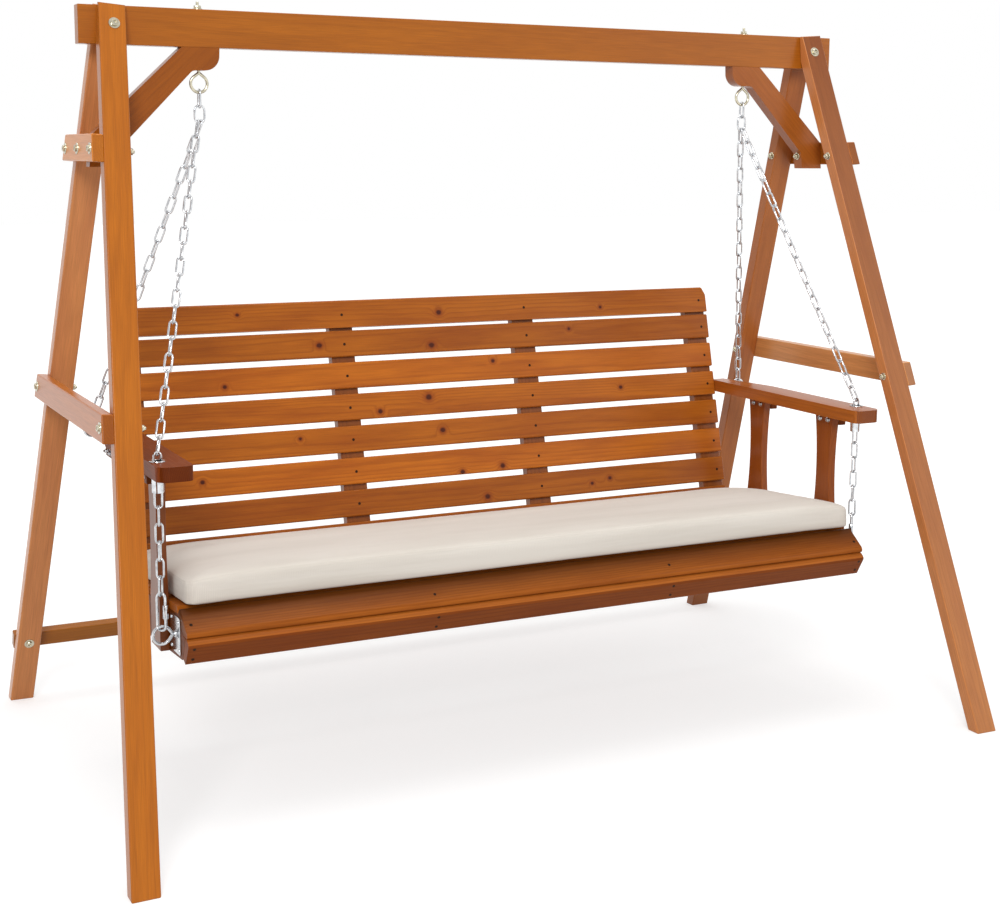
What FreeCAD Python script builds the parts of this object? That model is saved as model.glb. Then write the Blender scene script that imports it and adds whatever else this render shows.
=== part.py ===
import FreeCAD, Part
import os
import Sketcher

# Porch swing for three, hung on chains in a timber A-frame stand.
# Axes: X along the beam, Y to the back, Z up. The origin is on the floor, under the middle of the beam.
# The left half is drawn and the right half is its mirror image.

V = FreeCAD.Vector
doc = FreeCAD.newDocument("porch_swing")
dims = doc.addObject("Spreadsheet::Sheet", "dims")

# Driving dimensions, in millimetres and degrees
STAND_SIZES = {
    "beam_length": 2048,
    "beam_height": 85,
    "beam_thick": 35,
    "beam_top": 1782,
    "leg_width": 60,
    "leg_depth": 37.2,
    "leg_length": 1792,
    "leg_splay": 4.4,
    "leg_top_outer": 981,
    "leg_top_front": 30.5,
    "leg_foot_front": 683,
    "foot_trim": 20,
    "bar_thick": 25,
    "bar_height": 60,
    "upper_bar_low": 1443,
    "middle_bar_low": 863,
    "brace_nose_x": 705,
    "brace_bend_x": 793,
    "brace_foot_height": 51,
    "brace_nose_round": 34,
    "brace_nose_slant": 2,
    "brace_bend_round": 20,
    "brace_shoulder": 55,
    "brace_end_slant": 6,
    "brace_low": 1428,
    "brace_end_width": 64,
    "brace_end_height": 42,
    "stretcher_height": 45,
    "stretcher_thick": 25,
    "stretcher_low": 148,
    "stretcher_length": 2216,
}
HANGING_SIZES = {
    "hinge_height": 1597,
    "top_eye_x": 750,
    "top_eye_wire": 7,
    "top_eye_radius": 19.5,
    "top_eye_apex": 24.5,
    "bolt_clearance": 0.6,
    "nut_width": 15,
    "nut_height": 7,
    "washer_diameter": 24,
    "washer_thick": 2,
    "bolt_tip": 9,
    "chain_wire": 5,
    "chain_pitch": 36,
    "front_links": 21,
    "rear_links": 21,
    "link_inside": 11,
    "link_gap": 0.4,
    "hook_gap": 0.8,
    "hanger_inside": 18,
    "hanger_pitch": 34.6,
    "hanger_seat": 7.0,
    "hanger_spread": 3.6,
    "hanger_shift": 1.6,
    "bench_eye_wire": 7,
    "bench_eye_shank": 52,
    "seat_eye_radius": 20,
    "seat_eye_apex": 24.5,
    "rear_eye_radius": 16.5,
    "rear_eye_apex": 21.5,
    "quick_wire": 6.5,
    "quick_inside": 14,
    "quick_length": 84,
    "quick_nut_width": 11,
    "quick_nut_length": 30,
    "quick_gap": 2.6,
    "bend_rise": 14,
    "bend_slack": 1.2,
    "lower_links": 8,
}
BENCH_SIZES = {
    "bench_length": 1822,
    "seat_tilt": 4,
    "seat_front": 303,
    "seat_height": 463,
    "support_thick": 28,
    "support_height": 98,
    "support_rear": 256,
    "support_bevel": 34,
    "support_bevel_rise": 41,
    "support_nose": 27.4,
    "seat_slat_count": 6,
    "seat_slat_width": 72,
    "seat_slat_pitch": 83,
    "seat_slat_inset": 2,
    "slat_thick": 18,
    "roll_front": 377,
    "roll_low": 425,
    "roll_nose": 13,
    "roll_depth": 34,
    "roll_lip": 17.1,
    "fascia_front": 386,
    "fascia_top": 424,
    "fascia_chamfer": 13,
    "fascia_depth": 24.9,
    "fascia_low_front": 358,
    "fascia_low": 362,
    "fascia_inset": 19.4,
    "fascia_rise": 10.5,
    "front_bevel": 3.6,
    "back_foot": 222,
    "back_level": 443.5,
    "recline": 13.7,
    "back_top": 646,
    "back_slat_count": 8,
    "back_slat_width": 70,
    "back_slat_thick": 16,
    "back_slat_pitch": 85,
    "top_slat_width": 74,
    "top_slat_gap": 8,
    "top_slat_clip": 12,
    "top_slat_round": 7,
    "stile_width": 66,
    "stile_thick": 28,
    "stile_low": 95,
    "stile_short": 8,
    "mid_stile_x": 273,
    "post_thick": 22,
    "post_width": 78,
    "post_waist": 11,
    "post_straight": 476,
    "front_post_y": -196,
    "rear_post_y": 114,
    "front_post_low": 362,
    "rear_post_low": 340,
    "cleat_height": 27,
    "cleat_thick": 21,
    "arm_top": 803,
    "arm_thick": 33,
    "arm_width": 80,
    "arm_front": 369,
    "arm_rear": 311,
    "arm_taper_start": 116,
    "arm_rear_width": 44,
    "arm_round": 26,
    "arm_inner_round": 18,
    "hole_x": 943,
    "hole_y": -289,
    "sleeve_outer": 27,
    "sleeve_inner": 23.6,
    "sleeve_flange": 36,
    "sleeve_drop": 35,
    "sleeve_rim": 2,
    "plate_width": 76,
    "plate_height": 84,
    "plate_thick": 3,
    "seat_eye_z": 416,
    "rear_eye_x": 959,
    "rear_eye_y": 281,
    "cushion_length": 1798,
    "cushion_depth": 526,
    "cushion_thick": 74,
    "cushion_front": 342,
    "cushion_corner": 34,
    "cushion_crown": 6,
    "soft_gap": 0.5,
}

row = 0
for group in (STAND_SIZES, HANGING_SIZES, BENCH_SIZES):
    for alias, value in group.items():
        row += 1
        dims.set(f"A{row}", alias)
        dims.set(f"B{row}", str(value))
        dims.setAlias(f"B{row}", alias)
doc.recompute()

nodes = []
LEFT_TO_RIGHT = V(1, 0, 0)
FRONT_TO_REAR = V(0, 1, 0)


def size(expression):
    """Value of an expression over the dimension sheet."""
    return float(dims.evalExpression(str(expression)))


def node(item, name):
    """Name a finished sub-part and keep it for export."""
    item.Label = name
    nodes.append(item)
    return item


def place(item, x="0", y="0", z="0", axis=None, angle=None):
    """Bind an item's place and, about a fixed axis, its turn in degrees."""
    if axis:
        item.Placement = FreeCAD.Placement(V(), FreeCAD.Rotation(V(*axis), 10))
        item.setExpression("Placement.Rotation.Angle", angle)
    for letter, expression in zip("xyz", (x, y, z)):
        item.setExpression(f"Placement.Base.{letter}", expression)
    return item


def mirror(item, name, normal=LEFT_TO_RIGHT):
    """Mirror image of a sub-part as a sub-part of its own."""
    image = doc.addObject("Part::Mirroring", name)
    image.Source = item
    image.Normal = normal
    return node(image, name)


def pair(item, name):
    """Left sub-part with its mirror image on the right."""
    node(item, name + "_left")
    mirror(item, name + "_right")


def box(name, length, width, height):
    """Plain board, along X, Y and Z."""
    board = doc.addObject("Part::Box", name)
    board.setExpression("Length", length)
    board.setExpression("Width", width)
    board.setExpression("Height", height)
    return board


def prism(name, sides, width, height):
    """Bar of a regular section along Z, its width over the corners."""
    bar = doc.addObject("Part::Prism", name)
    bar.Polygon = sides
    bar.setExpression("Circumradius", f"({width}) / 2")
    bar.setExpression("Height", height)
    return bar


def cut(base, tool, name):
    """Base less a tool."""
    result = doc.addObject("Part::Cut", name)
    result.Base = base
    result.Tool = tool
    return result


def fuse(items, name):
    """Several items made one solid."""
    result = doc.addObject("Part::MultiFuse", name)
    result.Shapes = items
    return result


def outline(sketch, corners):
    """Closed outline through corners of two expressions; a third is the hollow of an arc to the next."""
    spots = [V(size(corner[0]), size(corner[1]), 0) for corner in corners]
    starts = []
    for index, corner in enumerate(corners):
        here, there = spots[index], spots[(index + 1) % len(spots)]
        if len(corner) == 3:
            inward = V(0, 0, 1).cross((there - here).normalize())
            middle = (here + there) * 0.5 + inward * size(corner[2])
            sketch.addGeometry(Part.Arc(here, middle, there), False)
        else:
            sketch.addGeometry(Part.LineSegment(here, there), False)
        starts.append(1 if sketch.getPoint(index, 1).isEqual(here, 1e-6) else 2)
    for index, corner in enumerate(corners):
        after = (index + 1) % len(corners)
        end = 3 - starts[index]
        sketch.addConstraint(Sketcher.Constraint("Coincident", index, end, after, starts[after]))
        for kind, expression, value in zip(("DistanceX", "DistanceY"), corner, spots[index]):
            number = sketch.addConstraint(Sketcher.Constraint(kind, -1, 1, index, starts[index], value))
            sketch.setExpression(f"Constraints[{number}]", expression)
        if len(corner) == 3:
            chord = [f"(({corners[after][k]}) - ({corner[k]}))^2" for k in (0, 1)]
            radius = f"abs(({chord[0]} + {chord[1]}) / (8 * ({corner[2]})) + ({corner[2]}) / 2)"
            number = sketch.addConstraint(Sketcher.Constraint("Radius", index, size(radius)))
            sketch.setExpression(f"Constraints[{number}]", radius)
    return sketch


def body_sketch(body, name, plane):
    """Sketch on one of a body's own origin planes."""
    sketch = body.newObject("Sketcher::SketchObject", name)
    sketch.AttachmentSupport = (next(f for f in body.Origin.OriginFeatures if f.Role == plane), [""])
    sketch.MapMode = "FlatFace"
    return sketch


def shaped(name, plane, corners, thick, outward=False):
    """Board sawn to an outline: YZ outlines go on along X, XZ ones towards the front, XY ones up."""
    body = doc.addObject("PartDesign::Body", name)
    pad = body.newObject("PartDesign::Pad", name + "_pad")
    pad.Profile = outline(body_sketch(body, name + "_outline", plane), corners)
    pad.setExpression("Length", thick)
    pad.Reversed = outward
    body.Tip = pad
    doc.recompute()
    return body


def dress_edges(body, kind, amount, chosen):
    """Round or bevel those edges of a body that the test picks by their two ends."""
    base = body.Tip
    names = []
    for number, edge in enumerate(base.Shape.Edges, start=1):
        if len(edge.Vertexes) == 2 and chosen(edge.Vertexes[0].Point, edge.Vertexes[1].Point):
            names.append(f"Edge{number}")
    dressing = body.newObject(f"PartDesign::{kind}", f"{body.Name}_edge_{len(body.Group)}")
    dressing.Base = (base, names)
    dressing.setExpression("Radius" if kind == "Fillet" else "Size", amount)
    body.Tip = dressing
    doc.recompute()


def wire_section(name, wire, sides):
    """Many-sided section of a round wire."""
    section = doc.addObject("Part::RegularPolygon", name)
    section.Polygon = sides
    section.setExpression("Circumradius", f"({wire}) / 2")
    return section


def swept(name, section, path):
    """Wire bent along a closed path."""
    sweep = doc.addObject("Part::Sweep", name)
    sweep.Sections = [section]
    sweep.Spine = (path, [])
    sweep.Solid = True
    sweep.Transition = "Right corner"
    return sweep


def oval_link(name, wire, inside, length, sides):
    """Long link in the XY plane, length along Y from tip to tip of the wire's middle line."""
    reach = f"(({inside}) + ({wire})) / 2"
    tip = f"({length}) / 2"
    flat = f"({reach}) * tan(360 / 16)"
    shoulder = f"({tip}) - ({reach}) + ({flat})"
    quarter = [(reach, f"-({shoulder})"), (reach, shoulder), (flat, tip), (f"-({flat})", tip)]
    turned = [(f"-({across})", f"-({along})") for across, along in quarter]
    path = outline(doc.addObject("Sketcher::SketchObject", name + "_path"), quarter + turned)
    section = wire_section(name + "_section", wire, sides)
    place(section, x=reach, axis=(1, 0, 0), angle="90")
    link = swept(name, section, path)
    doc.recompute()
    return link


def eye_bolt(name, wire, radius, apex, shank):
    """Teardrop eye about the origin in the XZ plane, with its shank going up."""
    opening = f"acos(({radius}) / ({apex}))"
    bends = 10
    step = f"((360 deg - 2 * {opening}) / {bends - 1})"
    reach = f"(({radius}) / cos({step} / 2))"
    corners = [("0", apex)]
    for index in range(bends):
        angle = f"({opening} + {step} * {index})"
        corners.append((f"-{reach} * sin({angle})", f"{reach} * cos({angle})"))
    path = outline(doc.addObject("Sketcher::SketchObject", name + "_path"), corners)
    path.Placement = FreeCAD.Placement(V(), FreeCAD.Rotation(V(1, 0, 0), 90))
    section = wire_section(name + "_section", wire, 8)
    place(section, z=f"-({radius})", axis=(0, 1, 0), angle="90")
    stem = prism(name + "_stem", 8, wire, shank)
    place(stem, z=f"({apex}) - ({wire}) / 2")
    return [swept(name + "_ring", section, path), stem]


def run_of_links(link, start, end, count, across, turn=0, twist=0):
    """Copies of a link from crossing to crossing, each a quarter turn and a little twist on from the last."""
    along = (end - start).normalize()
    normal = (across - along * across.dot(along)).normalize()
    links = []
    for index in range(count):
        middle = start + (end - start) * ((index + 0.5) / count)
        spin = FreeCAD.Rotation(along, turn + (90 + twist) * index)
        facing = spin.multVec(normal)
        turned = FreeCAD.Rotation(facing.cross(along).negative(), along, facing, "ZYX")
        copy = link.Shape.copy()
        copy.Placement = FreeCAD.Placement(middle, turned)
        links.append(copy)
    return links


# Side frames: drawn upright in the plane of the legs' outer faces, then leaned in by the splay
FOOT_OUTER = "(dims.leg_top_outer + dims.leg_length * sin(dims.leg_splay))"
LEAN = "((dims.leg_foot_front - dims.leg_top_front) / dims.leg_length)"


def leg_front_at(height):
    """How far the front face of a leg stands from the middle at a height along the leg frame."""
    return f"(dims.leg_top_front + {LEAN} * (dims.leg_length - ({height})))"


def lean_in(item):
    """Stand a piece of the left side frame in its splayed plane."""
    return place(item, x=f"-{FOOT_OUTER}", axis=(0, 1, 0), angle="dims.leg_splay")


def build_legs():
    """Four legs: square top beside the beam, face against the beam cut upright, foot cut level."""
    floor = box("floor_block", "dims.beam_length * 2", "dims.beam_length * 2", "dims.beam_height")
    place(floor, x="-dims.beam_length", y="-dims.beam_length", z="-dims.beam_height")
    seat = "dims.beam_thick / 2"
    seat_height = f"dims.leg_length - ({seat} + dims.leg_depth - dims.leg_top_front) / {LEAN}"
    corners = [
        (f"-{leg_front_at('-dims.foot_trim')}", "-dims.foot_trim"),
        (f"dims.leg_depth - {leg_front_at('-dims.foot_trim')}", "-dims.foot_trim"),
        (f"-({seat})", seat_height),
        (f"-({seat})", "dims.leg_length"),
        ("-dims.leg_top_front", "dims.leg_length"),
    ]
    leg = lean_in(shaped("leg_blank", "YZ_Plane", corners, "dims.leg_width"))
    front = node(cut(leg, floor, "leg_front_left"), "leg_front_left")
    mirror(front, "leg_front_right")
    rear = mirror(front, "leg_rear_left", FRONT_TO_REAR)
    mirror(rear, "leg_rear_right")


def build_side_bars():
    """Bars across the outer faces of the legs, ends cut along the legs."""
    for name in ("upper", "middle"):
        low = f"dims.{name}_bar_low"
        high = f"{low} + dims.bar_height"
        corners = [
            (f"-{leg_front_at(low)}", low),
            (leg_front_at(low), low),
            (leg_front_at(high), high),
            (f"-{leg_front_at(high)}", high),
        ]
        bar = lean_in(shaped(f"{name}_bar_blank", "YZ_Plane", corners, "dims.bar_thick", outward=True))
        pair(bar, f"{name}_side_bar")


BEAM_LOW = "(dims.beam_top - dims.beam_height)"
BOLT_HOLE = "dims.top_eye_wire + dims.bolt_clearance"


def build_beam():
    """Top beam with a hole for each eye bolt."""
    beam = box("beam_blank", "dims.beam_length", "dims.beam_thick", "dims.beam_height")
    place(beam, x="-dims.beam_length / 2", y="-dims.beam_thick / 2", z=BEAM_LOW)
    holes = []
    for sign in ("-", ""):
        spot = {"x": f"{sign}dims.top_eye_x", "z": f"{BEAM_LOW} - 1"}
        holes.append(place(prism(f"beam_hole_{len(holes)}", 8, BOLT_HOLE, "dims.beam_height + 2"), **spot))
    node(cut(beam, fuse(holes, "beam_holes"), "top_beam"), "top_beam")


def build_braces():
    """Knee braces: rounded nose under the beam, diagonal, upright end against the upper side bar."""
    splay = "tan(dims.leg_splay)"
    beam_end = f"(dims.leg_top_outer + {splay} * (dims.beam_top - dims.brace_low))"
    shoulder_z = "(dims.upper_bar_low + dims.brace_shoulder)"
    shoulder_x = f"(dims.leg_top_outer + {splay} * (dims.beam_top - {shoulder_z}))"
    foot_z = f"({BEAM_LOW} - dims.brace_foot_height)"
    inner_x = f"({beam_end} - dims.brace_end_width)"
    inner_z = "(dims.brace_low + dims.brace_end_height)"
    corners = [
        ("-dims.brace_nose_x", BEAM_LOW),
        ("-dims.brace_bend_x", BEAM_LOW),
        (f"-{shoulder_x}", shoulder_z),
        (f"-{beam_end}", "dims.brace_low"),
        (f"-{inner_x}", "dims.brace_low"),
        (f"-({inner_x} - dims.brace_end_slant)", inner_z),
        (f"-({inner_x} - ({foot_z} - {inner_z}))", foot_z),
        ("-(dims.brace_nose_x + dims.brace_nose_slant)", foot_z),
    ]
    brace = shaped("brace_blank", "XZ_Plane", corners, "dims.beam_thick")

    def at_foot(first, last):
        return abs(first.y - last.y) > 1 and abs(first.z - size(foot_z)) < 0.01

    def nose(first, last):
        return at_foot(first, last) and first.x > -size("dims.top_eye_x")

    def bend(first, last):
        return at_foot(first, last) and first.x < -size("dims.brace_nose_x + dims.brace_foot_height")

    dress_edges(brace, "Fillet", "dims.brace_nose_round", nose)
    dress_edges(brace, "Fillet", "dims.brace_bend_round", bend)
    place(brace, y="dims.beam_thick / 2")
    spot = {"x": "-dims.top_eye_x", "z": f"{foot_z} - 1"}
    hole = place(prism("brace_hole", 8, BOLT_HOLE, "dims.brace_foot_height + 2"), **spot)
    pair(cut(brace, hole, "knee_brace"), "knee_brace")


def build_stretcher():
    """Low board behind the rear legs, lying against their leaning faces."""
    lean_angle = f"atan({LEAN} * cos(dims.leg_splay))"
    behind = "(dims.leg_foot_front - (dims.leg_foot_front - dims.leg_top_front) * dims.stretcher_low"
    behind += " / (dims.leg_length * cos(dims.leg_splay)))"
    board = box("rear_stretcher", "dims.stretcher_length", "dims.stretcher_thick", "dims.stretcher_height")
    spot = {"x": "-dims.stretcher_length / 2", "y": behind, "z": "dims.stretcher_low"}
    place(board, axis=(1, 0, 0), angle=lean_angle, **spot)
    node(board, "rear_stretcher")


# Hanging gear
STEP_APART = "(dims.chain_wire + dims.link_gap)"
SHANK_HOLE = "dims.bench_eye_wire + dims.bolt_clearance"
BENCH_END = "(dims.bench_length / 2)"
SPREAD = V(1, 0, 0)


def build_top_eyes():
    """Long eye bolts through brace and beam, with washer and nut on top."""
    shank = f"{BEAM_LOW} + dims.beam_height - dims.hinge_height - dims.top_eye_radius - dims.top_eye_apex"
    shank += " + dims.washer_thick + dims.nut_height + dims.bolt_tip + dims.top_eye_wire / 2"
    pieces = eye_bolt("top_eye", "dims.top_eye_wire", "dims.top_eye_radius", "dims.top_eye_apex", shank)
    top = "dims.beam_top - dims.hinge_height - dims.top_eye_radius"
    pieces.append(place(prism("top_washer", 16, "dims.washer_diameter", "dims.washer_thick"), z=top))
    nut = prism("top_nut", 6, "dims.nut_width", "dims.nut_height")
    pieces.append(place(nut, z=f"{top} + dims.washer_thick"))
    bolt = fuse(pieces, "top_eye_bolt")
    place(bolt, x="-dims.top_eye_x", z="dims.hinge_height + dims.top_eye_radius")
    pair(bolt, "top_eye_bolt")


def build_bench_eyes():
    """Eye bolts sideways out of the seat end and out of the rear of the armrest."""
    spots = {
        "seat": ("dims.hole_x", "dims.hole_y", "dims.seat_eye_z"),
        "rear": ("dims.rear_eye_x", "dims.rear_eye_y", "dims.arm_top - dims.arm_thick / 2"),
    }
    bolts = {}
    for name, (across, back, up) in spots.items():
        shape = [f"dims.{name}_eye_radius", f"dims.{name}_eye_apex"]
        pieces = eye_bolt(f"{name}_eye", "dims.bench_eye_wire", *shape, "dims.bench_eye_shank")
        bolts[name] = fuse(pieces, f"{name}_eye_bolt")
        place(bolts[name], x=f"-({across})", y=back, z=up, axis=(0, 1, 0), angle="90")
    pair(bolts["rear"], "rear_eye_bolt")

    plate = box("eye_plate_blank", "dims.plate_thick", "dims.plate_width", "dims.plate_height")
    spot = {"y": "dims.hole_y - dims.plate_width / 2", "z": "dims.seat_eye_z - dims.plate_height / 2"}
    place(plate, x=f"-({BENCH_END} + dims.plate_thick)", **spot)
    spot = {"x": f"-({BENCH_END} + dims.plate_thick + 1)", "y": "dims.hole_y", "z": "dims.seat_eye_z"}
    hole = prism("plate_hole", 8, SHANK_HOLE, "dims.plate_thick + 2")
    place(hole, axis=(0, 1, 0), angle="90", **spot)
    seat_eye = doc.addObject("Part::Compound", "seat_eye")
    seat_eye.Links = [bolts["seat"], cut(plate, hole, "eye_plate")]
    pair(seat_eye, "seat_eye_and_plate")


def build_chains():
    """Two hanger links under the top eye carry the front and the rear chain, all of oval links."""
    step = size(STEP_APART)
    top_tip = "(dims.hinge_height + dims.top_eye_wire / 2 + dims.hook_gap + dims.chain_wire / 2)"
    first_length = f"dims.chain_pitch + {STEP_APART}"
    hanger_tip = f"({top_tip} - dims.chain_pitch)"
    hanger_length = f"dims.hanger_pitch + {STEP_APART}"
    hanger_low = size(f"{hanger_tip} - ({hanger_length})")
    eye_x = -size("dims.top_eye_x")
    hole = V(-size("dims.hole_x"), size("dims.hole_y"), 0)

    first = oval_link("first_link", "dims.chain_wire", "dims.link_inside", first_length, 6)
    hanger = oval_link("hanger_link", "dims.chain_wire", "dims.hanger_inside", hanger_length, 6)
    quick = oval_link("quick_loop", "dims.quick_wire", "dims.quick_inside", "dims.quick_length", 8)
    nut = prism("quick_nut", 6, "dims.quick_nut_width", "dims.quick_nut_length")
    side = "(dims.quick_inside + dims.quick_wire) / 2"
    place(nut, x=side, y="dims.quick_nut_length / 2", axis=(1, 0, 0), angle="90")
    quick_link = fuse([quick, nut], "quick_link")
    doc.recompute()

    def hung(link, tip, length, facing):
        """Link with its top tip at a height under the eye, lying in an upright plane."""
        middle = V(eye_x, 0, tip - length / 2)
        down = V(0, 0, -1)
        copy = link.Shape.copy()
        turned = FreeCAD.Rotation(facing.cross(down).negative(), down, facing, "ZYX")
        copy.Placement = FreeCAD.Placement(middle, turned)
        return copy

    hangers = [
        hung(first, size(top_tip), size(first_length), V(1, 0, 0)),
        hung(hanger, size(hanger_tip), size(hanger_length), V(0, 1, 0)),
    ]

    def slanting_run(name, offset, target, tip_beyond):
        """Straight chain from the hanger link to a target, with the link length that divides it evenly."""
        seat = V(eye_x - size("dims.hanger_shift") + offset, 0, hanger_low)
        along = (target - seat).normalize()
        start = seat - along * (size("dims.hanger_seat") - step / 2)
        end = target + along * (tip_beyond - step / 2)
        count = int(size(f"dims.{name}s"))
        pitch = (end - start).Length / count
        link = oval_link(name, "dims.chain_wire", "dims.link_inside", f"{pitch} + {STEP_APART}", 6)
        print(f"{name}: {count} links at {pitch:.2f} mm")
        return run_of_links(link, start, end, count, SPREAD)

    spread = size("dims.hanger_spread")
    bend = hole + V(0, 0, size("dims.arm_top + dims.sleeve_rim + dims.bend_rise"))
    front = slanting_run("front_link", -spread, bend, step / 2)

    rear_wire = V(-size("dims.rear_eye_x"), size("dims.rear_eye_y"), 0)
    rear_wire.z = size("dims.arm_top - dims.arm_thick / 2 + dims.rear_eye_radius")
    rear_hook = size("(dims.bench_eye_wire + dims.chain_wire) / 2 + dims.link_gap")
    rear = slanting_run("rear_link", spread, rear_wire, rear_hook)

    ring_top = size("dims.seat_eye_z + dims.seat_eye_radius")
    quick_low = ring_top - size("(dims.bench_eye_wire + dims.quick_wire) / 2 + dims.quick_gap")
    quick_high = quick_low + size("dims.quick_length")
    quick_hook = size("(dims.quick_wire + dims.chain_wire) / 2 + dims.link_gap")
    lower_end = hole + V(0, 0, quick_high - quick_hook + step / 2)
    count = int(size("dims.lower_links"))
    slack_bend = bend + V(0, 0, size("dims.bend_slack"))
    pitch = (slack_bend - lower_end).Length / count
    print(f"lower_link: {count} links at {pitch:.2f} mm")
    lower = oval_link("lower_link", "dims.chain_wire", "dims.link_inside", f"{pitch} + {STEP_APART}", 6)
    eighth_turn = 45
    straight = run_of_links(lower, slack_bend, lower_end, count, SPREAD, 90, eighth_turn / count)
    middle = hole + V(0, 0, (quick_low + quick_high) / 2)
    shackle = quick_link.Shape.copy()
    shackle.Placement = FreeCAD.Placement(middle, FreeCAD.Rotation(-eighth_turn, 0, 90))

    runs = {"front_chain": hangers + front, "front_chain_lower": straight + [shackle], "rear_chain": rear}
    for name, links in runs.items():
        chain = doc.addObject("Part::Feature", name)
        chain.Shape = Part.makeCompound(links)
        pair(chain, name)


# Bench
STILE_END = f"({BENCH_END} - dims.support_thick)"
ARM_LOW = "(dims.arm_top - dims.arm_thick)"


def seat_line(back):
    """Height of the top of the seat supports at a distance to the back."""
    return f"(dims.seat_height - tan(dims.seat_tilt) * (({back}) + dims.seat_front))"


def build_supports():
    """Seat supports: sloped top, front cut for the roll slat and the fascia, bevelled rear corner."""
    roll_back = "(-dims.roll_front + dims.roll_depth)"
    fascia_back = "(-dims.fascia_front + dims.fascia_depth)"
    low_front = "(-dims.fascia_low_front + dims.fascia_inset)"
    low_front_z = "(dims.fascia_low + dims.fascia_rise)"
    base_y = "(-dims.fascia_low_front + dims.support_nose)"
    bevel_y = "(dims.support_rear - dims.support_bevel)"
    rear_top = seat_line("dims.support_rear")
    corners = [
        ("-dims.seat_front", "dims.seat_height"),
        (roll_back, "dims.roll_low"),
        (fascia_back, "dims.fascia_top"),
        (low_front, low_front_z),
        (base_y, f"{seat_line(base_y)} - dims.support_height"),
        (bevel_y, f"{seat_line(bevel_y)} - dims.support_height"),
        ("dims.support_rear", f"{rear_top} - dims.support_height + dims.support_bevel_rise"),
        ("dims.support_rear", rear_top),
    ]
    end = shaped("end_support", "YZ_Plane", corners, "dims.support_thick")
    place(end, x=f"-{BENCH_END}")
    spot = {"x": f"-{BENCH_END} - 1", "y": "dims.hole_y", "z": "dims.seat_eye_z"}
    hole = prism("support_hole", 8, SHANK_HOLE, "dims.support_thick + 2")
    place(hole, axis=(0, 1, 0), angle="90", **spot)
    pair(cut(end, hole, "seat_support_end"), "seat_support_end")
    middle = shaped("seat_support_middle", "YZ_Plane", corners, "dims.support_thick")
    place(middle, x="-(dims.mid_stile_x + dims.stile_width / 2 + dims.support_thick)")
    pair(middle, "seat_support_middle")


def build_seat_slats():
    """Seat slats along the bench on the sloped supports."""
    for index in range(int(size("dims.seat_slat_count"))):
        name = f"seat_slat_{index + 1}"
        slat = box(name, "dims.bench_length", "dims.seat_slat_width", "dims.slat_thick")
        run = f"(dims.seat_slat_inset + dims.seat_slat_pitch * {index})"
        back = f"(-dims.seat_front + {run} * cos(dims.seat_tilt))"
        place(slat, x=f"-{BENCH_END}", y=back, z=seat_line(back), axis=(1, 0, 0), angle="-dims.seat_tilt")
        node(slat, name)


def build_front():
    """Roll slat on the slanted front edge and the fascia that leans back below it."""
    roll_top = "(dims.seat_height + dims.slat_thick)"
    roll = [
        ("-(dims.seat_front + dims.roll_lip)", roll_top),
        ("-dims.roll_front", "dims.roll_low + dims.roll_nose"),
        ("-dims.roll_front", "dims.roll_low"),
        ("-dims.roll_front + dims.roll_depth", "dims.roll_low"),
        ("-dims.seat_front", "dims.seat_height"),
    ]
    fascia = [
        ("-dims.fascia_front + dims.fascia_chamfer", "dims.fascia_top"),
        ("-dims.fascia_front", "dims.fascia_top - dims.fascia_chamfer"),
        ("-dims.fascia_low_front", "dims.fascia_low"),
        ("-dims.fascia_low_front + dims.fascia_inset", "dims.fascia_low + dims.fascia_rise"),
        ("-dims.fascia_front + dims.fascia_depth", "dims.fascia_top"),
    ]

    def long_front_edge(first, last):
        front = -size("dims.seat_front + dims.front_bevel")
        return abs(first.x - last.x) > size(BENCH_END) and front > first.y

    for name, corners in (("front_roll_slat", roll), ("front_fascia", fascia)):
        board = shaped(name, "YZ_Plane", corners, "dims.bench_length")
        dress_edges(board, "Chamfer", "dims.front_bevel", long_front_edge)
        place(board, x=f"-{BENCH_END}")
        node(board, name)


def on_back(run, depth):
    """Place on the leaning back: a run up it from the seat, and a depth behind the stiles' front faces."""
    back = f"dims.back_foot + ({run}) * sin(dims.recline) + ({depth}) * cos(dims.recline)"
    up = f"dims.back_level + ({run}) * cos(dims.recline) - ({depth}) * sin(dims.recline)"
    return {"y": back, "z": up, "axis": (1, 0, 0), "angle": "-dims.recline"}


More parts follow.
